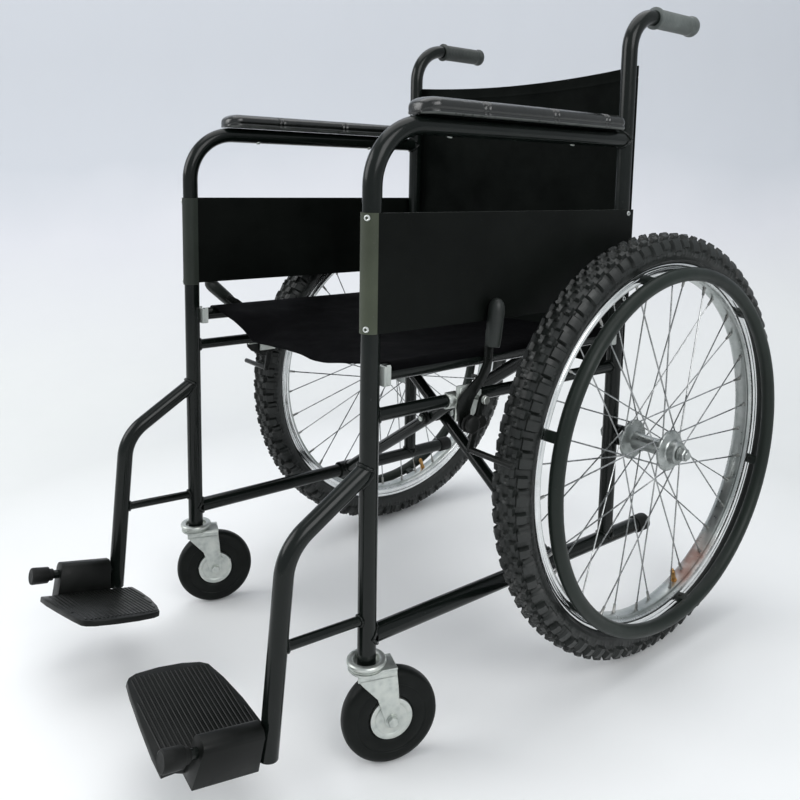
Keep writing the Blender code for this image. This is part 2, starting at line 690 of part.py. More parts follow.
def build_brake_shoe(side, s):
    """Arm that carries the shoe bar across the front of the tyre."""
    reach = R_TYRE + SHOE_CLEAR + SHOE_RADIUS
    turn = math.radians(SHOE_ANGLE_DEG)
    top = Vector((0, *SHOE_PIVOT))
    end = Vector((0, Y_AXLE + reach * math.cos(turn), Z_AXLE + reach * math.sin(turn)))
    ahead = (end - top).normalized()
    across = Vector((0, -ahead.z, ahead.y)) * (SHOE_RADIUS + 0.2)
    corners = [top - ahead * 6 + across * 0.7, top - ahead * 6 - across * 0.7, top - across * 1.3,
               end - across, end + ahead * 4 - across, end + ahead * 4 + across, end + across,
               top + across * 1.3]
    face = shoe_face()
    arm = prism(side + "_brake_shoe", [(c.y, c.z) for c in corners], "X", s * face, s * (face + SHOE_SHEET))
    start = face - 0.6
    bar = rods("bar", [((s * start, end.y, end.z), (s * (start + SHOE_LENGTH), end.y, end.z))], SHOE_RADIUS, 10)
    combine(arm, bar, "UNION")
    hole = rods("hole", [((s * (face - 8), top.y, top.z), (s * (face + 9), top.y, top.z))], SHOE_STUD + RUN_GAP)
    attach(combine(arm, hole, "DIFFERENCE"), side + "_shoe_pivot", "brake_paint")


def build_tyre(side, s):
    """Casing with two rows of staggered blocks: every other station of a row stands up."""
    valley = R_TYRE - KNOB_HEIGHT / 2
    half = [(RIM_HALF - RIM_WALL - 1.2, R_RIM - BEAD_DEPTH), (RIM_HALF - RIM_WALL - 0.7, R_RIM + 2.0),
            (TYRE_HALF, R_RIM + TYRE_HEIGHT * 0.35), (TYRE_HALF - 4.3, R_RIM + TYRE_HEIGHT * 0.826),
            (TYRE_HALF * 0.37, valley)]
    section = [(-a, r) for a, r in half] + [(a, r) for a, r in reversed(half)]
    rows = {3: 1, 4: 0, 5: 1, 6: 0}
    rings = []
    for i in range(TREAD_STATIONS):
        turn = 2 * math.pi * (i + 0.5) / TREAD_STATIONS
        ring = []
        for k, (along, radius) in enumerate(section):
            if k in rows:
                radius += KNOB_HEIGHT / 2 if (i + rows[k]) % 2 else -KNOB_HEIGHT / 2
            ring.append(Vector((s * (X_WHEEL + along), Y_AXLE + radius * math.cos(turn),
                                Z_AXLE + radius * math.sin(turn))))
        rings.append(ring)
    attach(loft(side + "_tyre", rings, closed=True), side + "_wheel", "rubber")


def build_rim(side, s):
    """Rolled rim: two hooked walls and a stepped well."""
    half = [(RIM_HALF - RIM_WALL - 0.4, R_WELL + 11.0), (RIM_HALF - RIM_WALL, R_RIM), (RIM_HALF, R_RIM),
            (RIM_HALF - 1.0, R_WELL + 5.0), (RIM_HALF * 0.5, R_WELL)]
    profile = half + [(-a, r) for a, r in reversed(half)]
    rim = turned(side + "_rim", outward(profile, s, X_WHEEL), "X", AXLE, WHEEL_SIDES)
    attach(rim, side + "_wheel", "chrome")


def build_hub_and_spokes(side, s):
    """Hub shell with two flanges, laced to the rim with spokes that cross each other."""
    bore = R_AXLE + RUN_GAP
    edge_in, edge_out = -FLANGE_IN - FLANGE_THICK / 2, FLANGE_OUT + FLANGE_THICK / 2
    shell = HUB_RADIUS + 1.0
    hub = [(-HUB_IN, bore), (-HUB_IN, BOSS_RADIUS), (edge_in - 3.0, BOSS_RADIUS), (edge_in, FLANGE_RADIUS),
           (edge_in + FLANGE_THICK, FLANGE_RADIUS), (edge_in + FLANGE_THICK + 3.5, shell),
           (edge_out - FLANGE_THICK - 3.5, shell), (edge_out - FLANGE_THICK, FLANGE_RADIUS),
           (edge_out, FLANGE_RADIUS), (edge_out + 3.5, BOSS_RADIUS + 2.0), (HUB_OUT, BOSS_RADIUS + 2.0),
           (HUB_OUT, bore)]
    body = turned(side + "_hub_and_spokes", outward(hub, s, X_WHEEL), "X", AXLE, 16)
    holes = FLANGE_RADIUS - 4.0
    tip = R_WELL - 1.4
    lines = []
    for i in range(SPOKES):
        rim_turn = 2 * math.pi * (i + 0.5) / SPOKES
        outer = i % 2 == 0
        leading = (i // 2) % 2 == 0
        hub_turn = rim_turn + math.radians(SPOKE_SWEEP_DEG) * (1 if leading else -1)
        face = (FLANGE_THICK / 2 + 1.1) * (1 if leading else -1)
        x_hub = X_WHEEL + (FLANGE_OUT if outer else -FLANGE_IN) + face
        x_rim = X_WHEEL + (4.0 if outer else -4.0)
        lines.append(((s * x_hub, Y_AXLE + holes * math.cos(hub_turn), Z_AXLE + holes * math.sin(hub_turn)),
                      (s * x_rim, Y_AXLE + tip * math.cos(rim_turn), Z_AXLE + tip * math.sin(rim_turn))))
    combine(body, rods("spokes", lines, SPOKE_RADIUS, SPOKE_SIDES), "UNION")
    attach(body, side + "_wheel", "zinc")


def build_handrim(side, s):
    """Hand-rim with the bolted tabs that carry it on the rim."""
    loop = [(a, R_HANDRIM + b) for a, b in arc((0.0, 0.0), HANDRIM_TUBE, 0, 300, 5)]
    hand = turned(side + "_handrim", outward(loop, s, X_HANDRIM), "X", AXLE, WHEEL_SIDES)
    for k in range(TABS):
        turn = 2 * math.pi * (k + 0.75) / TABS
        out = Vector((0, math.cos(turn), math.sin(turn)))
        across = Vector((0, -out.z, out.y)) * (TAB_WIDE / 2)
        thick = out * (TAB_THICK / 2)
        near = Vector((s * (X_WHEEL + RIM_HALF + WELD_GAP), *AXLE)) + out * (R_RIM - TAB_THICK)
        far = Vector((s * (X_HANDRIM - HANDRIM_TUBE / 2), *AXLE)) + out * R_HANDRIM
        corners = [near - across - thick, near + across - thick, near + across + thick, near - across + thick]
        combine(hand, block("tab", corners, far - near), "UNION")
    attach(hand, side + "_wheel", "handrim_paint")


def build_axle(side, s):
    """Through axle: head inside the boss, collar and nut outside the hub."""
    head = BOSS_IN + RUN_GAP
    hub_end = WHEEL_OFFSET + HUB_OUT + WELD_GAP
    profile = stepped(-head - 7.4, [(7.4, R_AXLE + 3.5), (head + hub_end, R_AXLE), (2.4, R_AXLE + 4.5),
                                    (9.0, R_AXLE + 2.6), (2.0, R_AXLE)])
    attach(turned(side + "_wheel_axle", outward(profile, s, X_FRAME), "X", AXLE, 10), side + "_frame", "zinc")


def build_caster_race(side, s):
    """Headset cup on the foot of the front post."""
    cup, outer, top = R_MAIN + GAP, R_MAIN + RACE_WALL, Z_RACE + RACE_HEIGHT
    race = [(Z_RACE, cup), (Z_RACE, outer - 3.0), (Z_RACE + 2.0, outer - 0.4), (Z_RACE + 6.0, outer),
            (top, outer - 2.5), (top, outer - 7.0), (top - 3.0, outer - 9.0), (top - 3.0, cup)]
    attach(turned(side + "_caster_race", race, "Z", (s * X_FRAME, 0.0), 14), side + "_frame", "zinc")


def build_caster_fork(side, s):
    """Swivel fork: a crown plate, two tapered legs and the axle bolt."""
    x = s * X_FRAME
    inside = CASTER_HALF + FORK_CLEAR
    outside = inside + FORK_SHEET
    shoulder = R_MAIN + RACE_WALL - 1.5
    crown = [(-outside, CASTER_TRAIL + 5.5), (-outside, 15.3)] + arc((0.0, 0.0), shoulder, 160, 380, 9)
    crown += [(outside, 15.3), (outside, CASTER_TRAIL + 5.5)]
    fork = prism(side + "_caster_fork", [(x + a, b) for a, b in crown], "Z", Z_CROWN, Z_CROWN + CROWN_THICK)
    leg = [(-15.0, Z_CROWN + 1.6), (CASTER_TRAIL + 4.5, Z_CROWN + 1.6), (CASTER_TRAIL + 8.0, Z_CASTER + 20.0),
           (CASTER_TRAIL + 9.0, Z_CASTER)]
    leg += arc((CASTER_TRAIL, Z_CASTER), 9.5, -20, -160, 4) + [(CASTER_TRAIL - 10.5, Z_CASTER + 3.0)]
    for sign in (-1, 1):
        combine(fork, prism("leg", leg, "X", x + sign * inside, x + sign * outside), "UNION")
    head = FORK_SHEET + 5.7 - 1.7
    bolt = stepped(-inside - head - 1.7, [(head, CASTER_BOLT + 2.2), (2 * (inside + 1.7), CASTER_BOLT),
                                          (head, CASTER_BOLT + 2.2)])
    shaft = turned("bolt", [(x + a, r) for a, r in bolt], "X", (CASTER_TRAIL, Z_CASTER), 12)
    attach(combine(fork, shaft, "UNION"), side + "_swivel", "zinc")


def build_caster_wheel(side, s):
    """Solid tyre on a plastic disc with dished faces."""
    x = s * X_FRAME
    wide = CASTER_HALF
    half = [(wide - 3.2, CASTER_DISC), (wide, CASTER_DISC + 6.6), (wide, R_CASTER - 8.5),
            (wide - 3.7, R_CASTER - 1.3)]
    tyre = [(x - a, r) for a, r in half] + [(x, R_CASTER)] + [(x + a, r) for a, r in reversed(half)]
    rubber = turned(side + "_caster_tyre", tyre, "X", (CASTER_TRAIL, Z_CASTER), 24)
    attach(rubber, side + "_caster", "solid_tyre")
    rim = CASTER_DISC - 0.5
    bore = CASTER_BOLT + RUN_GAP
    half = [(wide + 0.4, bore), (wide + 0.4, rim - 3.9), (wide - 0.6, rim)]
    disc = [(x - a, r) for a, r in half] + [(x + a, r) for a, r in reversed(half)]
    attach(turned(side + "_caster_hub", disc, "X", (CASTER_TRAIL, Z_CASTER), 16), side + "_caster", "zinc")


def build_footplate(side, s):
    """Moulded plate with ribs on top and its box hinge round the pin."""
    root, ahead, up = pin_frame(s)
    inward = Vector((-s, 0, 0))

    def at(u, w, n):
        return root + ahead * u + inward * w + up * n

    low = -PLATE_DROP - 0.5
    side_bevel = HINGE_HALF - HINGE_BEVEL
    outer = [(-HINGE_HALF, low), (HINGE_HALF, low), (HINGE_HALF, HINGE_TOP - HINGE_BEVEL),
             (side_bevel, HINGE_TOP), (-side_bevel, HINGE_TOP), (-HINGE_HALF, HINGE_TOP - HINGE_BEVEL)]
    upright = math.tan(math.radians(FOOT_RISE_DEG))
    corners = [at(HINGE_START + n * upright, w, n) for w, n in outer]
    plate = block(side + "_footplate", corners, ahead * (HINGE_END - HINGE_START))

    ledge = HINGE_HALF + 1.25
    start, end = HINGE_START - 5.0, HINGE_END - 5.0
    front_in, front_out = (PLATE_FRONT, ledge - 2.0), (PLATE_FRONT - PLATE_TAPER_FRONT, PLATE_WIDTH)
    rear_in, rear_out = (PLATE_REAR, ledge + 1.0), (PLATE_REAR + PLATE_TAPER_REAR, PLATE_WIDTH)
    outline = [(start, -HINGE_HALF + 0.25), (end, -HINGE_HALF + 0.25), (end + 1, HINGE_HALF - 4.75),
               (end + 10, ledge)]
    outline += bowed(front_in, front_out, 3.0, 4) + bowed(front_out, rear_out, 6.0, 3)
    outline += bowed(rear_out, rear_in, 5.5, 4) + [rear_in, (start - 5.0, ledge), (start, ledge - 3.0)]
    corners = [at(u, w, -PLATE_DROP - PLATE_THICK) for u, w in outline]
    combine(plate, block("flat", corners, up * PLATE_THICK), "UNION")
    rib = [(-2.0, -1.0), (2.0, -1.0), (1.2, RIB_HEIGHT), (-1.2, RIB_HEIGHT)]
    for k in range(PLATE_RIBS):
        u = RIB_START + RIB_PITCH * k
        corners = [at(u + a, RIB_NEAR, -PLATE_DROP + b) for a, b in rib]
        combine(plate, block("rib", corners, inward * (RIB_FAR - RIB_NEAR)), "UNION")
    hole = rods("hole", [(at(HINGE_START - 20, 0, 0), at(HINGE_END + 20, 0, 0))], R_BRACE + PIN_CLEAR)
    attach(combine(plate, hole, "DIFFERENCE"), side + "_footrest_pin", "plate_plastic")


def build_cross_brace():
    """The two crossing tubes with their pivot sleeves and the seat tubes they carry."""
    bore = R_MAIN + RUN_GAP
    outer = bore + SLEEVE_WALL
    seat_end = Y_BACK - SEAT_TUBE_TAIL
    for name, s in (("front", 1), ("rear", -1)):
        y = Y_CROSS - s * CROSS_STEP
        low = Vector((-s * X_FRAME, y, Z_BOTTOM_RAIL))
        high = Vector((s * X_FRAME, y, Z_SEAT_TUBE))
        foot = low + (high - low).normalized() * (outer - 1.4)
        bar = rods("cross_brace_" + name, [(foot, high)], R_CROSS)
        ring = [(y - SLEEVE_HALF, bore), (y - SLEEVE_HALF, outer), (y + SLEEVE_HALF, outer),
                (y + SLEEVE_HALF, bore)]
        combine(bar, turned("sleeve", ring, "Y", (low.x, low.z), 14), "UNION")
        plugged = [(SEAT_TUBE_START, 0.0), (SEAT_TUBE_START, R_CROSS - TUBE_PLUG),
                   (SEAT_TUBE_START + TUBE_PLUG, R_CROSS), (seat_end - TUBE_PLUG, R_CROSS),
                   (seat_end, R_CROSS - TUBE_PLUG), (seat_end, 0.0)]
        combine(bar, turned("seat_tube", plugged, "Y", (high.x, high.z), 12), "UNION")
        through = ((0, y - 3 * R_CROSS, Z_PIVOT), (0, y + 3 * R_CROSS, Z_PIVOT))
        hole = rods("hole", [through], PIVOT_BOLT + RUN_GAP)
        attach(combine(bar, hole, "DIFFERENCE"), "cross_" + name, "frame_paint")
    reach = CROSS_STEP + R_CROSS + WELD_GAP
    spacer = CROSS_STEP - R_CROSS - 0.5
    steps = [(7.0, PIVOT_HEAD - 2.5), (4.9, PIVOT_HEAD), (reach - spacer, PIVOT_BOLT), (2 * spacer, PIVOT_NUT),
             (reach - spacer, PIVOT_BOLT), (6.9, PIVOT_NUT)]
    profile = stepped(Y_CROSS - reach - 11.9, steps)
    attach(turned("brace_pivot_bolt", profile, "Y", (0.0, Z_PIVOT), 10), "cross_front", "zinc")


def sling_line(centre, radius, lap, slack, steps=10):
    """A cloth's line from one tube to the other: laps at both ends, a shallow bow between."""
    line = arc((X_FRAME, centre), radius, lap, 90, 3)
    for k in range(1, steps):
        x = X_FRAME * (1 - 2 * k / steps)
        line.append((x, centre + radius + slack * (1 - (x / X_FRAME) ** 2)))
    return line + arc((-X_FRAME, centre), radius, 90, 180 - lap, 3)


def build_fabric():
    """Seat sling over the seat tubes and back sling behind the back posts."""
    reach = R_CROSS + CLOTH_GAP + CLOTH / 2
    seat = sheet("seat_sling", sling_line(Z_SEAT_TUBE, reach, 28, -SEAT_SAG), CLOTH, "Y", 0.0, SEAT_REAR)
    for vertex in seat.data.vertices:
        if vertex.co.y < SEAT_REAR / 2:
            vertex.co.y = SEAT_FRONT - SEAT_SKEW * vertex.co.x / X_FRAME
    attach(seat, "cross_front", "cloth")

    reach = R_MAIN + CLOTH_GAP + CLOTH / 2
    back = sheet("back_sling", sling_line(Y_BACK, reach, 50, BACK_SLACK), CLOTH, "Z", BACK_LOW, BACK_HIGH)
    for vertex in back.data.vertices:
        if vertex.co.z > (BACK_LOW + BACK_HIGH) / 2:
            vertex.co.z -= BACK_SAG * max(0.0, 1.0 - (vertex.co.x / X_FRAME) ** 2)
    attach(back, "right_frame", "cloth")


def stand_on_floor():
    """Centre the leaning chair over the origin, with its lowest point at height zero."""
    bpy.context.view_layer.update()
    points = [obj.matrix_world @ vert.co for obj in bpy.data.objects if obj.type == "MESH"
              for vert in obj.data.vertices]
    low_y = min(point.y for point in points)
    high_y = max(point.y for point in points)
    low_z = min(point.z for point in points)
    chair = bpy.data.objects["chair"]
    chair.location = (0.0, -(low_y + high_y) / 2, -low_z)
    print("lean in degrees:", round(math.degrees(caster_lean()), 6))
    print("chair's place, metres:", [round(c, 6) for c in chair.location])


clear_scene()
make_materials()
make_carriers()
for SIDE, SIGN in SIDES:
    build_posts(SIDE, SIGN)
    build_rails(SIDE, SIGN)
    build_hanger(SIDE, SIGN)
    build_arm_pad(SIDE, SIGN)
    build_side_panel(SIDE, SIGN)
    build_grip(SIDE, SIGN)
    build_saddles(SIDE, SIGN)
    build_brake_bracket(SIDE, SIGN)
    build_brake_lever(SIDE, SIGN)
    build_brake_shoe(SIDE, SIGN)
    build_tyre(SIDE, SIGN)
    build_rim(SIDE, SIGN)
    build_hub_and_spokes(SIDE, SIGN)
    build_handrim(SIDE, SIGN)
    build_axle(SIDE, SIGN)
    build_caster_race(SIDE, SIGN)
    build_caster_fork(SIDE, SIGN)
    build_caster_wheel(SIDE, SIGN)
    build_footplate(SIDE, SIGN)
build_cross_brace()
build_fabric()
stand_on_floor()
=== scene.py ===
"""Folding wheelchair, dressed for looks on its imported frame.

Pieces are modelled in millimetres in the chair's own level frame (X to the occupant's left,
Y to the back, Z up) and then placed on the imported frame, which leans back on its wheels.
"""
import math

import bmesh
import bpy
from mathutils import Matrix, Vector, noise

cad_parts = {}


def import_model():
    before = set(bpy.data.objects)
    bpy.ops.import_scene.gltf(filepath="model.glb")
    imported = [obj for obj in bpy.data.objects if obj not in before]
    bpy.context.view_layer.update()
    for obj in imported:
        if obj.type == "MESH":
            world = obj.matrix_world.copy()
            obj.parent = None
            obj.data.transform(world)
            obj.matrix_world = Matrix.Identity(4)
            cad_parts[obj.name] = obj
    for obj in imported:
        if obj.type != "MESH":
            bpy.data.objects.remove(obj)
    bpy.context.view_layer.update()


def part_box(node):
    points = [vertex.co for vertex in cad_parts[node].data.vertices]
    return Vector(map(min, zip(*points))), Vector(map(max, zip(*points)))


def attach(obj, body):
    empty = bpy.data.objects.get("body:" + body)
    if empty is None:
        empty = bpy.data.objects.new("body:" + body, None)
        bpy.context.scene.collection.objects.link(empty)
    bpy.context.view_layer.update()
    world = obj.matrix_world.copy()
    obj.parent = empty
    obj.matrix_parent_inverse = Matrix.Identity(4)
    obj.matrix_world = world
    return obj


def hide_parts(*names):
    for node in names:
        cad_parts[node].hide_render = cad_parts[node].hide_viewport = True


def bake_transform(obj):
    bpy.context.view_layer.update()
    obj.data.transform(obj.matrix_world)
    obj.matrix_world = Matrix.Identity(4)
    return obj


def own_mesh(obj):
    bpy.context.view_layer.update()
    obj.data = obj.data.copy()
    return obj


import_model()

# Sizes in millimetres in the chair's level frame, and angles in degrees

X_FRAME = 236.5
Y_BACK = 438.5
R_MAIN = 11.1
R_MID = 7.9
R_BRACE = 6.0
R_CROSS = 9.5
Z_BOTTOM = 145.2
Z_MID = 409.0
Z_SEAT = 456.7
Z_ARM = 735.5
Z_HANDLE = 909.0
AXLE = (448.6, 305.0)
X_WHEEL = 303.0
R_HANDRIM = 250.0
X_HANDRIM = 343.5
TRAIL = (28.5, 42.1)
CASTER_TURN = -20.0
FOOT_PIN = (236.5, -125.0, 78.0)
FOOT_RISE = 11.3
FOOT_TILT = 10.0
GRIP_END = {"left": 587.0, "right": 595.0}
LEVER_PIVOT = (131.08, 383.0)
SHOE_PIVOT = (153.08, 410.0)
LEVER_SET = {"left": 0.0, "right": 53.0}
SHOE_RATIO = 0.125
SIDES = (("left", 1), ("right", -1))
STRAPS = {"left": (112.0, 131.0), "right": (96.0, 122.0)}
SPOKES = 36
TREAD_PITCHES = 80
TREAD_STEPS = 10
VALVE_TURN = -71.0
STAIN_TURN = -60.0
CLOTH_THICKNESS = 2.4
CLOTH_STAND = 1.65
CLOTH_STEPS = 44

LEAN = Matrix.Rotation(-math.radians(2.2018), 4, "X")
rim_low, rim_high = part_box("left_rim")
SHIFT = (rim_low + rim_high) / 2 - LEAN @ Vector((X_WHEEL, AXLE[0], AXLE[1])) * 0.001
TO_WORLD = Matrix.Translation(SHIFT) @ LEAN @ Matrix.Scale(0.001, 4)


def world(x, y, z):
    """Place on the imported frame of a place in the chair's level frame."""
    return TO_WORLD @ Vector((x, y, z))


def spot(x, radius, turn):
    """Place at a radius and a turn about the rear axle."""
    return Vector((x, AXLE[0] + radius * math.cos(turn), AXLE[1] + radius * math.sin(turn)))


# Geometry helpers, in millimetres; a part is its vertices and its faces


def rings(count, ring, closed=False):
    """Faces between loops of points; closed joins the last loop to the first."""
    faces = []
    for i in range(count if closed else count - 1):
        j = (i + 1) % count
        for k in range(ring):
            m = (k + 1) % ring
            faces.append((i * ring + k, i * ring + m, j * ring + m, j * ring + k))
    return faces


def caps(count, ring):
    """End faces of a row of loops."""
    return [tuple(range(ring)), tuple(range((count - 1) * ring, count * ring))]


def patch(rows, cols, base=0, wrap=False):
    """Faces of a grid of points; wrap joins its last row to the first."""
    faces = []
    for i in range(rows if wrap else rows - 1):
        a = base + i * cols
        b = base + (i + 1) % rows * cols
        faces += [(a + j, a + j + 1, b + j + 1, b + j) for j in range(cols - 1)]
    return faces


def circle(side, other, radius, count):
    """Points round the origin in the plane of two directions."""
    turns = [2 * math.pi * k / count for k in range(count)]
    return [radius * (math.cos(turn) * side + math.sin(turn) * other) for turn in turns]


def mirrored(points):
    """The other half of a profile, in the order that continues it."""
    return [(-a, b) for a, b in reversed(points)]


def line_normals(points):
    """Normals to the left of a flat line."""
    out = []
    for i in range(len(points)):
        ahead = (points[min(i + 1, len(points) - 1)] - points[max(i - 1, 0)]).normalized()
        out.append(Vector((-ahead.y, ahead.x)))
    return out


def merge(*parts):
    """Join parts into one."""
    verts, faces = [], []
    for part_verts, part_faces in parts:
        base = len(verts)
        verts += [Vector(v) for v in part_verts]
        faces += [tuple(base + i for i in f) for f in part_faces]
    return verts, faces


def along_axis(axis, t, a, b):
    """Point at t along an axis and at (a, b) across it."""
    if axis == "X":
        return Vector((t, a, b))
    if axis == "Y":
        return Vector((a, t, b))
    return Vector((a, b, t))


def lathe(profile, axis, centre, sides=32, closed=False):
    """Turned form; an open profile gets end caps where it stops off the axis."""
    n = len(profile)
    verts = []
    for i in range(sides):
        turn = 2 * math.pi * i / sides
        for t, r in profile:
            a, b = centre[0] + r * math.cos(turn), centre[1] + r * math.sin(turn)
            verts.append(along_axis(axis, t, a, b))
    if closed:
        return verts, rings(sides, n, closed=True)
    faces = patch(sides, n, wrap=True)
    faces.append(tuple(i * n for i in range(sides)))
    faces.append(tuple(i * n + n - 1 for i in range(sides)))
    return verts, faces


def spun(profile, s, centre, sides, closed=False, x=0.0):
    """Turned form about a cross axis, with its profile given from x for the left side."""
    return lathe([(s * (x + a), r) for a, r in profile], "X", centre, sides, closed)


def fillet(points, radii, steps=12):
    """Round the inner corners of a path of straight pieces."""
    out = [Vector(points[0])]
    for i in range(1, len(points) - 1):
        here = Vector(points[i])
        back = (Vector(points[i - 1]) - here).normalized()
        ahead = (Vector(points[i + 1]) - here).normalized()
        half = back.angle(ahead) / 2
        reach = radii[i - 1] / math.tan(half)
        centre = here + (back + ahead).normalized() * (radii[i - 1] / math.sin(half))
        first = here + back * reach - centre
        last = here + ahead * reach - centre
        sweep = first.angle(last)
        for k in range(steps + 1):
            t = k / steps
            out.append(centre + first * (math.sin((1 - t) * sweep) / math.sin(sweep))
                       + last * (math.sin(t * sweep) / math.sin(sweep)))
    out.append(Vector(points[-1]))
    return out


def smooth_path(points, steps=8):
    """Catmull-Rom curve through points."""
    pts = [Vector(p) for p in points]
    pts = pts[:1] + pts + pts[-1:]
    out = []
    for p0, p1, p2, p3 in zip(pts, pts[1:], pts[2:], pts[3:]):
        for k in range(steps):
            t = k / steps
            out.append(0.5 * (2 * p1 + (p2 - p0) * t + (2 * p0 - 5 * p1 + 4 * p2 - p3) * t * t
                              + (3 * p1 - p0 - 3 * p2 + p3) * t ** 3))
    return out + pts[-1:]


def tube(path, radius, sides=24, closed=False):
    """Round tube; radius may be a list with one value for each point."""
    path = [Vector(p) for p in path]
    n = len(path)
    radii = radius if isinstance(radius, (list, tuple)) else [radius] * n
    tangent = (path[1] - path[0]).normalized()
    normal = tangent.orthogonal().normalized()
    verts = []
    for i, centre in enumerate(path):
        if closed:
            ahead = (path[(i + 1) % n] - path[i - 1]).normalized()
        else:
            ahead = (path[min(i + 1, n - 1)] - path[max(i - 1, 0)]).normalized()
        normal = (normal - ahead * normal.dot(ahead)).normalized()
        verts += [centre + v for v in circle(normal, ahead.cross(normal), radii[i], sides)]
    return verts, rings(n, sides, closed) + ([] if closed else caps(n, sides))


def bar(start, end, radius, sides=16, round_end=0.0):
    """Straight round bar with softened ends."""
    start, end = Vector(start), Vector(end)
    ahead = (end - start).normalized()
    soft = round_end or min(0.6, radius * 0.3)
    path = [start, start + ahead * soft, end - ahead * soft, end]
    return tube(path, [radius - soft, radius, radius, radius - soft], sides)


def prism(outline, axis, low, high):
    """Outline drawn out between two places along an axis."""
    n = len(outline)
    verts = [along_axis(axis, t, a, b) for t in (low, high) for a, b in outline]
    return verts, [tuple(range(n)), tuple(range(2 * n - 1, n - 1, -1))] + rings(2, n)


def arc(centre, radius, start, end, steps):
    """Points of an arc, with its angles in degrees."""
    out = []
    for k in range(steps + 1):
        turn = math.radians(start + (end - start) * k / steps)
        out.append((centre[0] + radius * math.cos(turn), centre[1] + radius * math.sin(turn)))
    return out


def turned(part, origin, axis, degrees):
    """Turn a part about a line."""
    spin = Matrix.Translation(Vector(origin)) @ Matrix.Rotation(math.radians(degrees), 4, Vector(axis))
    spin = spin @ Matrix.Translation(-Vector(origin))
    return [spin @ Vector(v) for v in part[0]], part[1]


def framed(part, origin, x_axis, y_axis, z_axis):
    """Take a part from its own axes to the chair's."""
    x_axis, y_axis, z_axis = Vector(x_axis), Vector(y_axis), Vector(z_axis)
    return [Vector(origin) + x_axis * v[0] + y_axis * v[1] + z_axis * v[2] for v in part[0]], part[1]


def stack(centre, way, profile, sides):
    """Closed form of flat loops stacked along a direction, given as heights and radii."""
    way = Vector(way).normalized()
    side = way.orthogonal().normalized()
    other = way.cross(side)
    verts = []
    for up, r in profile:
        verts += [Vector(centre) + way * up + v for v in circle(side, other, r, sides)]
    return verts, rings(len(profile), sides) + caps(len(profile), sides)


def dome(centre, outward, radius, height, sides=16):
    """Low round head, such as a rivet's."""
    shares = ((0.0, 1.0), (0.35, 0.97), (0.8, 0.7), (1.0, 0.25))
    return stack(centre, outward, [(height * up, radius * r) for up, r in shares], sides)


def hex_nut(centre, outward, radius, height):
    """Hexagon nut with a chamfered face."""
    return stack(centre, outward, [(0.0, radius), (height * 0.8, radius), (height, radius * 0.86)], 6)


def eyelet(centre, outward, radius, height, sides=20):
    """Head of a blind rivet, with the hole that its pin leaves."""
    shares = ((0.0, 1.0), (0.35, 0.98), (0.85, 0.84), (1.0, 0.64), (0.85, 0.48), (0.0, 0.42))
    part = lathe([(height * up, radius * r) for up, r in shares], "Z", (0.0, 0.0), sides, closed=True)
    outward = Vector(outward).normalized()
    side = outward.orthogonal().normalized()
    return framed(part, centre, side, outward.cross(side), outward)


def new_object(name, data):
    """Object in the scene that shows the given data."""
    obj = bpy.data.objects.new(name, data)
    bpy.context.scene.collection.objects.link(obj)
    return obj


def piece(name, part, material, body, node=None, slot=None, bevel=0.0, smooth=35.0):
    """One finished object on its body; node is the CAD node that it stands for."""
    mesh = bpy.data.meshes.new(name)
    mesh.from_pydata([tuple(TO_WORLD @ Vector(v)) for v in part[0]], [], part[1])
    work = bmesh.new()
    work.from_mesh(mesh)
    bmesh.ops.remove_doubles(work, verts=work.verts, dist=1e-6)
    bmesh.ops.recalc_face_normals(work, faces=work.faces)
    work.to_mesh(mesh)
    work.free()
    mesh.materials.append(material)
    obj = new_object(name, mesh)
    if bevel:
        step = obj.modifiers.new("soften", "BEVEL")
        step.width = bevel * 0.001
        step.segments = 2
        step.limit_method = "ANGLE"
        step.angle_limit = math.radians(40)
        apply_modifiers(obj)
    obj.data.shade_smooth()
    obj.data.set_sharp_from_angle(angle=math.radians(smooth))
    if body:
        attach(obj, body)
    if node:
        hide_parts(node)
    return obj


def apply_modifiers(obj):
    """Give the object the mesh that its modifiers make."""
    view = bpy.context.evaluated_depsgraph_get()
    result = bpy.data.meshes.new_from_object(obj.evaluated_get(view))
    old = obj.data
    obj.modifiers.clear()
    obj.data = result
    result.name = obj.name
    bpy.data.meshes.remove(old)


def side_piece(side, name, part, material, body, node=None, **options):
    """A piece of one side, with its name, body and node given without the side."""
    node = f"{side}_{node}" if node else None
    return piece(f"{side}_{name}", part, material, f"{side}_{body}", node, **options)


# Materials


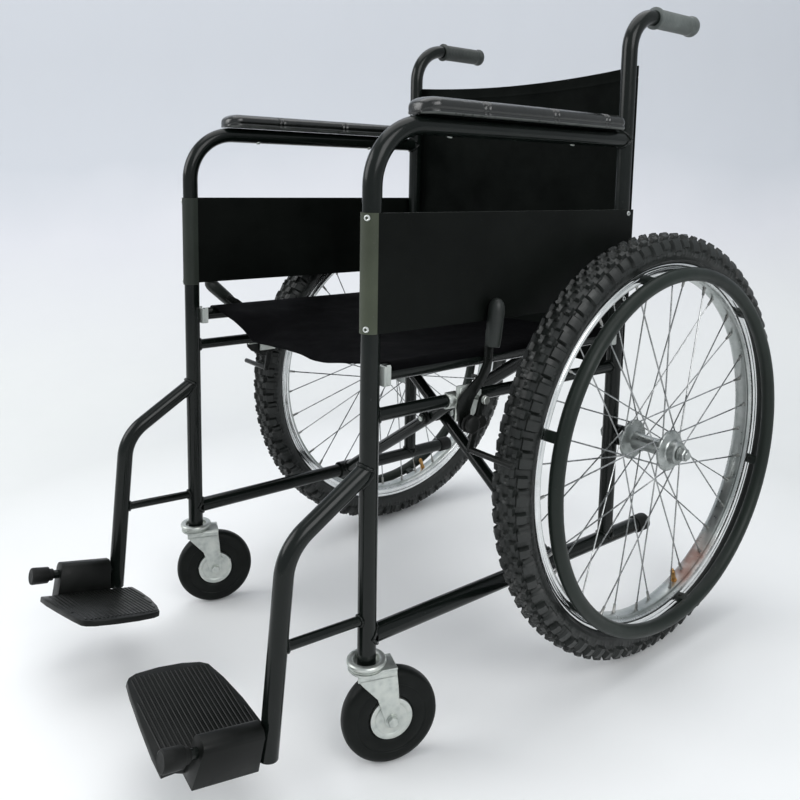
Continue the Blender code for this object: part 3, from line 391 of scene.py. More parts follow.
class Nodes:
    """Short names for building one material."""

    def __init__(self, name):
        """Start a material that has only its shader."""
        self.material = bpy.data.materials.new(name)
        self.material.use_nodes = True
        self.tree = self.material.node_tree
        self.shader = next(n for n in self.tree.nodes if n.type == "BSDF_PRINCIPLED")
        self.coords = self.tree.nodes.new("ShaderNodeTexCoord").outputs["Object"]

    def feed(self, socket, value):
        """Link a node's output to a socket, or give the socket a fixed value."""
        if isinstance(value, bpy.types.NodeSocket):
            self.tree.links.new(value, socket)
        elif socket.type == "RGBA":
            socket.default_value = (*value, 1.0)
        else:
            socket.default_value = value

    def add(self, kind, **values):
        """New node; each name is one of its settings or one of its inputs."""
        node = self.tree.nodes.new(kind)
        for key, value in values.items():
            if hasattr(node, key):
                setattr(node, key, value)
            else:
                self.feed(node.inputs[key.replace("_", " ")], value)
        return node

    def noise(self, scale, detail=3.0, rough=0.5, stretch=None):
        """Cloudy grey; stretch scales it along each axis."""
        place = self.coords
        if stretch:
            place = self.add("ShaderNodeMapping", Scale=stretch, Vector=place).outputs["Vector"]
        node = self.add("ShaderNodeTexNoise", Scale=scale, Detail=detail, Roughness=rough, Vector=place)
        return node.outputs["Fac"]

    def ramp(self, source, stops):
        """Colours for a grey, given as places and colours in rising order."""
        node = self.add("ShaderNodeValToRGB", Fac=source)
        points = node.color_ramp.elements
        for index in (0, -1):
            points[index].position = stops[index][0]
            points[index].color = (*stops[index][1], 1.0)
        for place, colour in stops[1:-1]:
            points.new(place).color = (*colour, 1.0)
        return node.outputs["Color"]

    def grey(self, source, stops):
        """A grey remapped through places and values."""
        return self.ramp(source, [(place, (v, v, v)) for place, v in stops])

    def spread(self, scale, detail, low, high, stop=0.7):
        """Grey that drifts between two values."""
        return self.grey(self.noise(scale, detail, 0.6), [(0.3, low), (stop, high)])

    def math(self, kind, a, b):
        """Maths on two values, each a number or a node's output."""
        node = self.add("ShaderNodeMath", operation=kind)
        self.feed(node.inputs[0], a)
        self.feed(node.inputs[1], b)
        return node.outputs[0]

    def vector(self, kind, a, b=(0.0, 0.0, 0.0)):
        """Vector maths on a node's output and a fixed value."""
        node = self.add("ShaderNodeVectorMath", operation=kind)
        self.feed(node.inputs[0], a)
        self.feed(node.inputs[1], b)
        return node.outputs["Value" if kind in ("LENGTH", "DISTANCE") else "Vector"]

    def mix(self, factor, a, b):
        """Colour a where the factor is 0, and b where it is 1."""
        node = self.add("ShaderNodeMix", data_type="RGBA", Factor=factor)
        for key, value in (("A", a), ("B", b)):
            self.feed(next(s for s in node.inputs if s.name == key and s.type == "RGBA"), value)
        return next(s for s in node.outputs if s.type == "RGBA")

    def bump(self, source, strength, distance):
        """Bump on top of any earlier one, with its distance in millimetres."""
        node = self.add("ShaderNodeBump", Strength=strength, Distance=distance * 0.001, Height=source)
        normal = self.shader.inputs["Normal"]
        if normal.is_linked:
            self.feed(node.inputs["Normal"], normal.links[0].from_socket)
        self.feed(normal, node.outputs["Normal"])

    def set(self, **values):
        """Feed the shader's inputs."""
        for key, value in values.items():
            self.feed(self.shader.inputs[key.replace("_", " ")], value)

    def done(self, base, rough, grain, **shader):
        """The material, with drifting roughness and a bump; grain is its noise, strength and distance."""
        self.set(Base_Color=base, Roughness=self.spread(*rough), **shader)
        self.bump(self.noise(*grain[:3]), *grain[3:])
        return self.material


def paint(name, colour, rough, dust=0.35, peel=0.05, shine=0.3):
    """Black enamel: orange peel, faint dust and rubbed spots."""
    m = Nodes(name)
    tint = tuple(min(1.0, c * 1.6 + 0.0015) for c in colour)
    base = m.ramp(m.noise(9.0, 5.0, 0.6), [(0.35, colour), (0.7, tint)])
    base = m.mix(m.grey(m.noise(420.0, 2.0, 0.5), [(0.70, 0.0), (0.80, dust)]), base, (0.11, 0.115, 0.11))
    return m.done(base, (30.0, 4.0, rough - 0.06, rough + 0.1), (260.0, 2.0, 0.5, peel, 0.3),
                  Specular_IOR_Level=shine)


def zinc_plate():
    """Bright zinc with a mottled, slightly milky skin."""
    m = Nodes("zinc_plate")
    cells = m.add("ShaderNodeTexVoronoi", Scale=130.0, Randomness=1.0, Vector=m.coords)
    mottled = m.math("MULTIPLY", cells.outputs["Distance"], 0.35)
    mottled = m.math("ADD", mottled, m.noise(55.0, 6.0, 0.65))
    stops = [(0.40, (0.42, 0.45, 0.43)), (0.65, (0.54, 0.57, 0.54)), (0.95, (0.62, 0.64, 0.60))]
    base = m.ramp(mottled, stops)
    return m.done(base, (80.0, 5.0, 0.30, 0.46), (300.0, 3.0, 0.6, 0.05, 0.3), Metallic=0.85)


def chrome(name, dark, light, rough):
    """Streaked bright plating."""
    m = Nodes(name)
    base = m.ramp(m.noise(40.0, 4.0, 0.6), [(0.3, dark), (0.7, light)])
    return m.done(base, (120.0, 5.0, rough * 0.6, rough * 1.7, 0.75), (150.0, 2.0, 0.5, 0.04, 0.2),
                  Metallic=1.0)


def rim_chrome():
    """Plated rim: lips painted lighter than the duller inner face as a painted highlight, with a smoother
    finish, and a brown stain beside the valve.
    """
    m = Nodes("rim_plating")
    from_axle = m.vector("SUBTRACT", m.coords, world(0.0, *AXLE))
    radius = m.vector("LENGTH", m.vector("MULTIPLY", from_axle, (0.0, 1.0, 1.0)))
    # Painted highlight: the lips beyond this radius take a lighter colour than the inner face, and a smoother
    # finish
    lip = m.grey(radius, [(0.2475, 0.0), (0.2495, 1.0)])
    streak = m.noise(40.0, 4.0, 0.6)
    face = m.ramp(streak, [(0.3, (0.34, 0.37, 0.355)), (0.7, (0.50, 0.52, 0.51))])
    bright = m.ramp(streak, [(0.3, (0.70, 0.72, 0.72)), (0.7, (0.88, 0.89, 0.89))])
    stained = world(*spot(X_WHEEL, 243, math.radians(STAIN_TURN)))
    near = m.grey(m.vector("DISTANCE", m.coords, stained), [(0.034, 0.8), (0.062, 0.0)])
    stain = m.math("MULTIPLY", near, m.grey(m.noise(34.0, 3.0, 0.5), [(0.35, 0.35), (0.60, 1.0)]))
    face = m.mix(stain, face, (0.20, 0.075, 0.045))
    rough = m.math("SUBTRACT", m.spread(120.0, 5.0, 0.26, 0.40, 0.75), m.math("MULTIPLY", lip, 0.14))
    m.set(Base_Color=m.mix(lip, face, bright), Metallic=m.math("SUBTRACT", 1.0, stain), Roughness=rough)
    m.bump(m.noise(150.0, 2.0, 0.5), 0.04, 0.2)
    return m.material


def rubber(name, colour, rough, grain=350.0, dust=0.12, shine=0.4):
    """Dusty rubber; a grain coarser than 200 is deeper."""
    m = Nodes(name)
    base = m.ramp(m.noise(22.0, 6.0, 0.65), [(0.35, colour), (0.68, tuple(c * 1.7 + 0.002 for c in colour))])
    base = m.mix(m.grey(m.noise(240.0, 3.0, 0.6), [(0.62, 0.0), (0.8, dust)]), base, (0.16, 0.165, 0.15))
    depth = (0.2, 0.3) if grain > 200 else (0.45, 0.9)
    return m.done(base, (50.0, 4.0, rough - 0.08, rough + 0.1), (grain, 3.0, 0.6, *depth),
                  Specular_IOR_Level=shine)


def vinyl():
    """Leather-grained vinyl with a soft shine."""
    m = Nodes("pad_vinyl")
    cells = m.add("ShaderNodeTexVoronoi", feature="DISTANCE_TO_EDGE", Scale=620.0, Vector=m.coords)
    m.bump(m.grey(cells.outputs["Distance"], [(0.0, 0.0), (0.25, 1.0)]), 0.22, 0.18)
    stops = [(0.3, (0.0045, 0.0052, 0.0047)), (0.7, (0.0105, 0.0115, 0.0105))]
    base = m.ramp(m.noise(30.0, 4.0, 0.6), stops)
    return m.done(base, (60.0, 4.0, 0.13, 0.22), (38.0, 3.0, 0.5, 0.5, 2.4), Specular_IOR_Level=0.65)


def cloth(name, colour):
    """Black coated nylon: fine plain weave, soft creases and almost no shine."""
    m = Nodes(name)
    threads = []
    for way in ("X", "Y"):
        wave = m.add("ShaderNodeTexWave", bands_direction=way, Scale=260.0, Distortion=0.6, Detail_Scale=2.0,
                     Vector=m.coords)
        threads.append(wave.outputs["Fac"])
    m.bump(m.math("MAXIMUM", *threads), 0.25, 0.25)
    base = m.ramp(m.noise(14.0, 6.0, 0.7), [(0.35, colour), (0.7, tuple(c * 1.8 + 0.0008 for c in colour))])
    lint = m.grey(m.noise(900.0, 2.0, 0.5), [(0.74, 0.0), (0.82, 0.04)])
    base = m.mix(lint, base, (0.10, 0.10, 0.10))
    return m.done(base, (25.0, 4.0, 0.62, 0.80), (35.0, 4.0, 0.55, 0.25, 1.6), Specular_IOR_Level=0.03)


def plastic(name, colour, tint, rough, grain=0.15, shine=0.45):
    """Moulded plastic with a fine grain."""
    m = Nodes(name)
    base = m.ramp(m.noise(35.0, 5.0, 0.6), [(0.35, colour), (0.7, tint)])
    return m.done(base, (70.0, 4.0, rough - 0.07, rough + 0.1), (420.0, 3.0, 0.6, grain, 0.25),
                  Specular_IOR_Level=shine)


def simple_metal(name, colour, tint, rough):
    """Bare metal of small parts."""
    m = Nodes(name)
    base = m.ramp(m.noise(120.0, 5.0, 0.6), [(0.35, colour), (0.7, tint)])
    return m.done(base, (90.0, 4.0, rough, rough + 0.15), (260.0, 2.0, 0.5, 0.08, 0.2), Metallic=1.0)


FRAME_PAINT = paint("frame_enamel", (0.0030, 0.0046, 0.0038), 0.17, shine=0.28)
PANEL_PAINT = paint("panel_enamel", (0.0022, 0.0030, 0.0024), 0.42, dust=0.12, peel=0.1, shine=0.1)
# Painted light: the strip round the front post is painted lighter than the rest of the sheet, and the left
# strip lighter still; both also carry grainy wear and dust
STRIP_PAINT = {"left": paint("panel_strip_worn_painted_light", (0.040, 0.047, 0.031), 0.46, dust=0.9, peel=0.9),
               "right": paint("panel_strip", (0.012, 0.016, 0.012), 0.48, dust=0.5, peel=0.6)}
RIVET = simple_metal("rivet_metal", (0.66, 0.68, 0.66), (0.86, 0.88, 0.86), 0.34)
# Painted highlight: a lighter paint for the side sheet's top edge, where light catches it
EDGE_HIGHLIGHT_PAINT = paint("panel_edge_painted_highlight", (0.16, 0.17, 0.155), 0.40, dust=0.5)
HANDRIM_PAINT = paint("handrim_enamel", (0.0075, 0.0115, 0.0090), 0.40, shine=0.26)
BRAKE_PAINT = paint("brake_enamel", (0.0040, 0.0048, 0.0042), 0.30, shine=0.25)
ZINC = zinc_plate()
RIM = rim_chrome()
SPOKE = chrome("spoke_plating", (0.20, 0.21, 0.21), (0.46, 0.47, 0.47), 0.24)
HUB = chrome("hub_plating", (0.22, 0.24, 0.23), (0.46, 0.48, 0.47), 0.34)
NIPPLE = simple_metal("nipple_metal", (0.26, 0.26, 0.25), (0.50, 0.50, 0.48), 0.32)
BRASS = simple_metal("valve_brass", (0.42, 0.22, 0.07), (0.74, 0.45, 0.18), 0.28)
TYRE = rubber("tyre_rubber", (0.0050, 0.0066, 0.0056), 0.44, grain=150.0, shine=0.5)
SOLID_TYRE = rubber("caster_rubber", (0.0030, 0.0040, 0.0034), 0.42, dust=0.02, shine=0.14)
# Lit and shaded copies of one grip rubber: the left grip is painted lighter as painted light, the right one
# darker as painted shade
GRIP = {"left": rubber("grip_rubber_painted_light", (0.078, 0.088, 0.084), 0.44, dust=0.3),
        "right": rubber("grip_rubber", (0.020, 0.024, 0.022), 0.40, dust=0.1)}
KNOB = rubber("knob_rubber", (0.0050, 0.0055, 0.0050), 0.50, dust=0.05, shine=0.2)
BRAKE_GRIP = rubber("brake_grip_rubber", (0.010, 0.0125, 0.011), 0.42, dust=0.05)
VINYL = vinyl()
# Painted highlight: a lighter, glossy colour for the arm pads' lower edges
PAD_EDGE_HIGHLIGHT = plastic("pad_piping_painted_highlight", (0.030, 0.034, 0.031), (0.075, 0.080, 0.075), 0.30, shine=0.7)
SEAT_CLOTH = cloth("seat_cloth", (0.0010, 0.0010, 0.0013))
BACK_CLOTH = cloth("back_cloth", (0.0030, 0.0038, 0.0033))
PLATE = plastic("footplate_plastic", (0.0030, 0.0036, 0.0031), (0.0062, 0.0072, 0.0064), 0.40, shine=0.2)
SADDLE = plastic("saddle_plastic", (0.36, 0.39, 0.37), (0.50, 0.52, 0.50), 0.42, 0.1)


# Rear wheels


def inside(value, low, high, edge):
    """Share of a block's full height at a place, with edges that slope."""
    return min(1.0, max(0.0, (value - low) / edge), max(0.0, (high - value) / edge))


def tread_lift(x, r, i):
    """Height of the tread over the casing at a place across and around the tyre."""
    a = abs(x)
    half = TREAD_STEPS // 2
    i += half if x < 0 else 0
    place = i % TREAD_STEPS
    other = (i + half) % TREAD_STEPS
    row = (i // TREAD_STEPS) % 2
    slope = 1.0 - 0.05 * place
    h = 0.0
    if r > 279:
        if 1 <= place <= 5:
            h = max(h, 5.2 * slope * inside(a, 1.0 + 1.4 * row, 8.4, 0.7) - (1.6 if place == 3 else 0.0))
        if 1 <= other <= 5:
            h = max(h, 5.4 * inside(a, 9.4, 15.2, 0.7) - (1.4 if other == 3 and row else 0.0))
        if place <= 5:
            edge = inside(r, 279.0 + 4.0 * row, 310.0, 1.6)
            h = max(h, 5.8 * slope * inside(a, 16.0, 24.5, 0.7) * edge)
        elif row and other in (2, 3, 4):
            h = max(h, 3.0 * inside(a, 17.0, 24.5, 0.7))
    if 272 < r <= 284 and place in (1, 2, 4, 5) and a > 18:
        h = max(h, 0.9 * inside(r, 273.0, 284.0, 2.0))
    if 261 < r < 274:
        h = max(h, 0.5 * inside(r, 266.5, 268.5, 0.6), 0.4 * inside(r, 270.5, 272.0, 0.6))
    return h


def tyre_part(s):
    """Knobbly cycle tyre: a casing curve pushed out by rows of staggered blocks."""
    half = [(-12.6, 256.0), (-13.4, 262.0), (-19.5, 266.5), (-23.4, 276.6), (-20.8, 288.0), (-15.0, 295.2),
            (-8.0, 298.4)]
    curve = smooth_path(half + [(0.0, 299.0)] + mirrored(half), 6)
    normals = line_normals(curve)
    count = TREAD_PITCHES * TREAD_STEPS
    verts = []
    for i in range(count):
        for point, normal in zip(curve, normals):
            p = point + normal * tread_lift(point.x, point.y, i)
            verts.append(spot(s * (X_WHEEL + p.x), p.y, 2 * math.pi * i / count))
    return verts, patch(count, len(curve), wrap=True)


def hub_and_spokes(side, s):
    """Hub shell and crossed spokes with their nipples."""
    shell = [(255.4, 6.4), (255.4, 12.0), (257.0, 14.6), (263.0, 15.0), (265.5, 17.0), (267.6, 28.0),
             (268.6, 29.0), (271.4, 29.0), (272.2, 28.0), (273.4, 18.0), (276.0, 13.2), (284.0, 11.6),
             (301.0, 11.2), (318.0, 11.6), (326.0, 13.2), (329.0, 18.0), (330.0, 28.0), (330.8, 29.0),
             (333.4, 29.0), (334.4, 28.0), (336.4, 18.0), (338.0, 16.2), (344.0, 15.8), (347.6, 15.2),
             (349.0, 13.0), (349.0, 6.4)]
    hub = [spun(shell, s, AXLE, 48, closed=True)]
    spokes, nipples = [], []
    for i in range(SPOKES):
        turn = 2 * math.pi * (i + 0.5) / SPOKES
        outer = i % 2 == 0
        lead = 1 if (i // 2) % 2 == 0 else -1
        start = spot(s * ((332.0 if outer else 270.0) + 2.2 * lead), 25.0, turn + math.radians(62.0) * lead)
        end = spot(s * (X_WHEEL + (4.0 if outer else -4.0)), 243.4, turn)
        ahead = (end - start).normalized()
        spokes.append(tube([start, start + ahead * 4.0, (start + end) / 2, end], 1.05, 6))
        nipples.append(tube([end + ahead * t for t in (-12.0, -2.5, -1.0, 1.5)], [1.9, 2.1, 3.0, 3.0], 8))
        hub.append(dome(start, (s * lead, 0, 0), 2.3, 1.3, 8))
    side_piece(side, "hub_shell", merge(*hub), HUB, "rear_wheel", "hub_and_spokes", smooth=30.0)
    side_piece(side, "spoke_set", merge(*spokes), SPOKE, "rear_wheel", slot="spoke_steel", smooth=50.0)
    side_piece(side, "nipple_set", merge(*nipples), NIPPLE, "rear_wheel", slot="spoke_steel", smooth=40.0)


def wheel(side, s):
    """Rear wheel: tyre, rim, hub and spokes, push ring on its tabs, and valve."""
    side_piece(side, "tyre_tread", tyre_part(s), TYRE, "rear_wheel", "tyre", smooth=32.0)
    hook = [(-13.6, 261.0), (-14.6, 262.4), (-15.8, 262.0), (-16.2, 260.0), (-15.6, 257.8), (-14.6, 256.8),
            (-14.6, 255.8), (-15.6, 254.8), (-15.7, 251.6), (-15.0, 249.2), (-13.2, 247.2), (-11.4, 246.6),
            (-9.6, 245.6), (-8.4, 243.4), (-6.6, 242.7)]
    inner = [(-12.4, 255.0), (-13.2, 258.5)]
    ring = hook + mirrored(hook) + mirrored(inner) + inner
    rim = spun(ring, s, AXLE, 144, closed=True, x=X_WHEEL)
    side_piece(side, "rim_ring", rim, RIM, "rear_wheel", "rim", smooth=28.0)
    hub_and_spokes(side, s)

    loop = arc((X_HANDRIM, R_HANDRIM), 9.6, 0, 342, 19)
    tabs, bolts = [], []
    for k in range(6):
        turn = math.radians(45 + 60 * k)
        out = Vector((0, math.cos(turn), math.sin(turn)))
        across = Vector((0, -out.z, out.y))
        verts = []
        for base in (spot(s * (X_WHEEL + 15.6), 253.0, turn), spot(s * (X_HANDRIM - 5.0), R_HANDRIM, turn)):
            verts += [base + across * a + out * b for a, b in ((-7, -4.5), (7, -4.5), (7, 4.5), (-7, 4.5))]
        tabs.append((verts, caps(2, 4) + rings(2, 4)))
        bolts.append(dome(spot(s * (X_WHEEL + 22.0), 248.6, turn), -out, 4.0, 2.4, 12))
    hand_ring = spun(loop, s, AXLE, 128, closed=True)
    side_piece(side, "push_ring", hand_ring, HANDRIM_PAINT, "rear_wheel", "handrim", smooth=60.0)
    side_piece(side, "ring_tabs", merge(*tabs), HANDRIM_PAINT, "rear_wheel", slot="handrim_paint", bevel=1.4)
    side_piece(side, "ring_bolts", merge(*bolts), BRAKE_PAINT, "rear_wheel", slot="handrim_paint")

    stem = [(0.0, 4.6), (2.4, 4.6)] + [(2.8 + k, 3.6 if k % 2 else 3.25) for k in range(16)]
    stem += [(19.2, 2.5), (21.0, 2.5), (21.4, 1.8)]
    path = [spot(s * X_WHEEL, 243.0 - depth, math.radians(VALVE_TURN)) for depth, r in stem]
    valve = tube(path, [r for depth, r in stem], 16)
    side_piece(side, "valve", valve, BRASS, "rear_wheel", slot="rim_chrome", smooth=50.0)


def axle(side, s):
    """Fixed axle with its nuts."""
    stem = [(217.2, 4.0), (217.2, 6.5), (218.5, 7.0), (224.2, 7.0), (224.4, 6.0), (349.6, 6.0), (349.6, 10.2),
            (351.0, 10.5), (352.0, 10.2), (352.0, 6.0), (361.6, 6.0), (363.0, 5.0)]
    outer_nut = hex_nut((s * 352.0, *AXLE), (s, 0, 0), 9.6, 7.5)
    inner_nut = hex_nut((s * 224.2, *AXLE), (-s, 0, 0), 9.8, 6.8)
    part = merge(spun(stem, s, AXLE, 24), outer_nut, inner_nut)
    side_piece(side, "axle_set", part, HUB, "frame", "wheel_axle", smooth=30.0)


# Casters


def caster(side, s):
    """Caster: fork and bolt on the swivel, race cup on the frame, and wheel."""
    x = s * X_FRAME
    y, z = TRAIL

    def moved(outline):
        """Outline given from the swivel's axis."""
        return [(x + a, b) for a, b in outline]

    def steered(part):
        """Turn a part about the swivel to where the caster points."""
        return turned(part, (x, 0, 0), (0, 0, 1), CASTER_TURN)

    edge = [(-15.8, 34.0), (-15.8, 15.3)]
    crown = edge + arc((0.0, 0.0), 22.0, 160, 380, 22) + mirrored(edge)
    outer = [(15.8, 97.0)] + arc((9.6, 102.4), 6.2, 0, 90, 6)
    inner = arc((9.6, 102.4), 3.6, 90, 0, 6) + [(13.2, 97.0)]
    bend = outer + mirrored(outer) + mirrored(inner) + inner
    leg = [(-14.0, 100.0), (33.6, 100.0), (35.4, 84.0), (37.0, 62.0), (37.8, z + 2)]
    leg += arc((y, z), 9.6, -10, -170, 10) + [(18.6, z + 3.0), (10.0, 72.0), (-8.0, 92.0)]
    washer = [(15.6, 3.0), (15.6, 8.0), (16.8, 8.0), (16.8, 3.0)]
    fork = [prism(moved(crown), "Z", 105.4, 108.6), prism(moved(bend), "Y", -14.0, 33.6)]
    bolt = []
    for sign in (-1, 1):
        fork.append(prism(leg, "X", x + sign * 13.2, x + sign * 15.8))
        bolt.append(lathe([(x + sign * a, r) for a, r in washer], "X", TRAIL, 20))
        bolt.append(hex_nut((x + sign * 16.6, y, z), (sign, 0, 0), 6.6, 4.4))
    fork, bolt = steered(merge(*fork)), steered(merge(*bolt))
    side_piece(side, "caster_fork_sheet", fork, ZINC, "caster_swivel", "caster_fork", bevel=0.9)
    side_piece(side, "caster_bolt", bolt, ZINC, "caster_swivel", slot="zinc")

    race = [(109.0, 11.5), (109.0, 19.5), (109.4, 21.4), (110.6, 22.0), (111.4, 20.8), (112.0, 20.6),
            (112.8, 22.6), (114.0, 23.4), (116.4, 23.4), (117.9, 22.4), (118.6, 20.0), (118.2, 17.4),
            (117.0, 15.7), (112.6, 14.8), (112.6, 11.5)]
    cup = lathe(race, "Z", (x, 0.0), 48, closed=True)
    side_piece(side, "race_cup", cup, ZINC, "frame", "caster_race", smooth=30.0)

    tread = [(-9.0, 26.4), (-11.4, 29.0), (-12.2, 32.5), (-12.2, 39.5), (-11.6, 40.6), (-11.6, 42.0),
             (-12.2, 43.0), (-12.0, 50.0), (-10.6, 54.4), (-8.2, 56.9), (-4.0, 58.2), (0.0, 58.5)]
    tyre = lathe(moved(tread + mirrored(tread[:-1])), "X", TRAIL, 96, closed=True)
    side_piece(side, "caster_tread", steered(tyre), SOLID_TYRE, "caster_wheel", "caster_tyre", smooth=30.0)
    disc = [(-13.0, 4.4), (-13.0, 9.0), (-12.0, 10.5), (-11.2, 14.0), (-11.2, 19.0), (-12.4, 21.0),
            (-12.6, 23.0), (-11.8, 25.6)]
    hub = lathe(moved(disc + mirrored(disc)), "X", TRAIL, 64, closed=True)
    side_piece(side, "caster_disc", steered(hub), ZINC, "caster_wheel", "caster_hub", smooth=28.0)


# Side frames


def on_tube(point, direction, origin, axis, radius):
    """Where a line first meets a round tube."""
    axis = Vector(axis).normalized()
    p = Vector(point) - Vector(origin)
    p = p - axis * p.dot(axis)
    d = Vector(direction) - axis * Vector(direction).dot(axis)
    a, b, c = d.dot(d), 2 * p.dot(d), p.dot(p) - radius * radius
    root = math.sqrt(max(b * b - 4 * a * c, 0.0))
    return Vector(point) + Vector(direction) * ((-b - root) / (2 * a))


def weld(centre, direction, radius, origin, axis, main, seed, size=2.0):
    """Lumpy bead where a tube of the given radius meets a main tube."""
    direction = Vector(direction).normalized()
    side = direction.orthogonal().normalized()
    path, radii = [], []
    for k, arm in enumerate(circle(side, direction.cross(side), radius + 0.4, 40)):
        start = Vector(centre) + arm - direction * 80
        path.append(on_tube(start, direction, origin, axis, main + 0.4) - direction * 0.6)
        lump = 0.22 * math.sin(k * 2.1 + seed) + 0.12 * noise.noise((k * 0.7, seed, 0.0))
        radii.append(size * (1.0 + lump))
    return tube(path, radii, 8, closed=True)


def side_frame(side, s):
    """Welded tubes of one side, with their beads, rail cap and pad screws."""
    x = s * X_FRAME
    end = GRIP_END[side]

    def painted(name, part, node):
        """One of the frame's painted tubes."""
        side_piece(side, name, part, FRAME_PAINT, "frame", node)

    loop = [(x, 0, 110.5), (x, 0, Z_ARM), (x, Y_BACK - R_MAIN + 1.5, Z_ARM)]
    painted("arm_loop", tube(fillet(loop, [70.0], 18), R_MAIN, 28), "front_post")
    post = [(x, Y_BACK, Z_BOTTOM + R_MAIN - 1.0), (x, Y_BACK, Z_HANDLE), (x, end - 7.0, Z_HANDLE)]
    post = tube(fillet(post, [end - 97.5 - Y_BACK], 16), R_MAIN, 28)
    boss = bar((s * 224.8, *AXLE), (s * 252.0, *AXLE), 15.0, 32, 1.2)
    painted("push_post", merge(post, boss), "back_post")
    painted("floor_rail", tube([(x, y, Z_BOTTOM) for y in (9, 200, 533)], R_MAIN, 28), "bottom_rail")
    cap = [(512.0, R_MAIN + 0.2), (512.0, 12.4), (513.2, 13.2), (533.0, 13.2), (536.4, 12.4), (538.0, 9.8),
           (538.0, 0.5)]
    side_piece(side, "rail_cap", lathe(cap, "Y", (x, Z_BOTTOM), 32), KNOB, "frame", "rail_tip", smooth=50.0)
    painted("seat_rail", tube([(x, 8, Z_MID), (x, Y_BACK - 8, Z_MID)], R_MID, 24), "mid_rail")
    hanger = tube(fillet([(x, -3, 347), (x, -107, 281), (x, -129, 51)], [60.0], 12), R_MAIN, 28)
    origin, ahead, up, inward = foot_frame(s)
    painted("foot_hanger", merge(hanger, bar(origin, origin + ahead * 108.0, R_BRACE, 20)), "hanger_tube")
    painted("hanger_strut", tube([(x, -110, 172.2), (x, -8, 167.7)], R_BRACE, 20), "hanger_brace")

    out = Vector((0, -107, 281)) - Vector((0, -3, 347))
    front = ((x, 0, 0), (0, 0, 1), R_MAIN)
    rear = ((x, Y_BACK, 0), (0, 0, 1), R_MAIN)
    floor = ((x, 0, Z_BOTTOM), (0, 1, 0), R_MAIN)
    slope = ((x, -107, 281), Vector((0, -22, -234)).normalized(), R_MAIN)
    beads = [
        weld((x, 0, Z_BOTTOM), (0, -1, 0), R_MAIN, *front, 1.0),
        weld((x, 0, Z_MID), (0, -1, 0), R_MID, *front, 2.0, 1.7),
        weld((x, Y_BACK, Z_MID), (0, 1, 0), R_MID, *rear, 3.0, 1.7),
        weld((x, Y_BACK, Z_ARM), (0, 1, 0), R_MAIN, *rear, 4.0),
        weld((x, Y_BACK, Z_BOTTOM), (0, 0, -1), R_MAIN, *floor, 5.0),
        weld((x, -3, 347), -out, R_MAIN, *front, 6.0, 2.2),
        weld((x, -8, 167.7), (0, 1, -0.044), R_BRACE, *front, 7.0, 1.6),
        weld((x, -95, 171.6), (0, -1, 0.044), R_BRACE, *slope, 8.0, 1.6),
    ]
    side_piece(side, "weld_beads", merge(*beads), FRAME_PAINT, "frame", slot="frame_paint", smooth=60.0)
    under = Z_ARM - R_MAIN + 0.8
    screws = [dome((x - s * 4.0, y, under), (-s * 0.4, 0, -1), 3.6, 2.2) for y in (113.0, 330.0)]
    side_piece(side, "pad_screws", merge(*screws), ZINC, "frame", slot="zinc")


def foot_frame(s):
    """The footplate pin's start and its directions: along it, up and inward."""
    rise = math.radians(FOOT_RISE)
    return (Vector((s * FOOT_PIN[0], FOOT_PIN[1], FOOT_PIN[2])), Vector((0, -math.cos(rise), math.sin(rise))),
            Vector((0, math.sin(rise), math.cos(rise))), Vector((-s, 0, 0)))


def foot_knob(side, s):
    """Rubber knob on the front end of the footplate pin."""
    origin, ahead, up, inward = foot_frame(s)
    profile = [(95.2, 6.2), (95.2, 7.8), (96.0, 8.3), (100.8, 8.3), (101.4, 10.6), (102.4, 11.3),
               (122.2, 11.8), (124.0, 11.2), (124.8, 9.8), (124.4, 8.0), (124.8, 0.4)]
    part = framed(lathe(profile, "Z", (0.0, 0.0), 40), origin, inward, up, ahead)
    side_piece(side, "foot_knob", part, KNOB, "frame", "pin_knob")


def footplate(side, s):
    """Footplate: hinge block, slab with ribs, all in the pin's tilted frame."""
    origin, ahead, up, inward = foot_frame(s)
    tilt = math.radians(FOOT_TILT)
    rest_in = inward * math.cos(tilt) + up * math.sin(tilt)
    rest_up = up * math.cos(tilt) - inward * math.sin(tilt)

    def plate_piece(name, part, **options):
        """A piece given in the plate's own axes."""
        side_piece(side, name, framed(part, origin, ahead, rest_in, rest_up), PLATE, "footplate", **options)

    box = [(-12.5, -33.5), (13.0, -33.5), (13.0, 8.0)] + arc((3.6, 6.6), 9.4, 10, 80, 5)
    box += arc((-3.1, 6.6), 9.4, 100, 170, 5) + [(-12.5, 8.0)]
    verts = [(u + h * slope, w, h) for u, slope in ((15.5, 0.10), (87.0, -0.05)) for w, h in box]
    plate_piece("plate_hinge", (verts, rings(2, len(box)) + caps(2, len(box))), node="footplate", bevel=1.6)

    outline = [(19, 6), (84, 6), (86, 10), (96, 14), (112, 12), (112, 40), (109, 85), (105, 130), (102, 152),
               (98, 158), (88, 163), (60, 167), (30, 167), (8, 163), (-1, 157), (-9, 130), (-16, 90),
               (-19, 50), (-19, 15), (-16, 14), (12, 14), (17, 10)]
    plate_piece("plate_slab", prism(outline, "Z", -33.5, -26.0), slot="black_plastic", bevel=1.2)

    def span(w):
        """The plate's reach along the pin at a place across it."""
        lows, highs = [], []
        for (u0, w0), (u1, w1) in zip(outline, outline[1:] + outline[:1]):
            if (w0 - w) * (w1 - w) <= 0 and w0 != w1:
                u = u0 + (u1 - u0) * (w - w0) / (w1 - w0)
                (lows if u < 50 else highs).append(u)
        return max(lows), min(highs)

    ribs = []
    u = -12.0
    while u < 106:
        reach = [w for w in range(18, 158, 2) if span(w)[0] + 5 < u < span(w)[1] - 5]
        if len(reach) > 4:
            shape = [(u - 1.7, -26.1), (u - 1.0, -25.1), (u + 1.0, -25.1), (u + 1.7, -26.1)]
            ribs.append(prism(shape, "Y", min(reach), max(reach)))
        u += 5.4
    plate_piece("plate_ribs", merge(*ribs), slot="black_plastic")


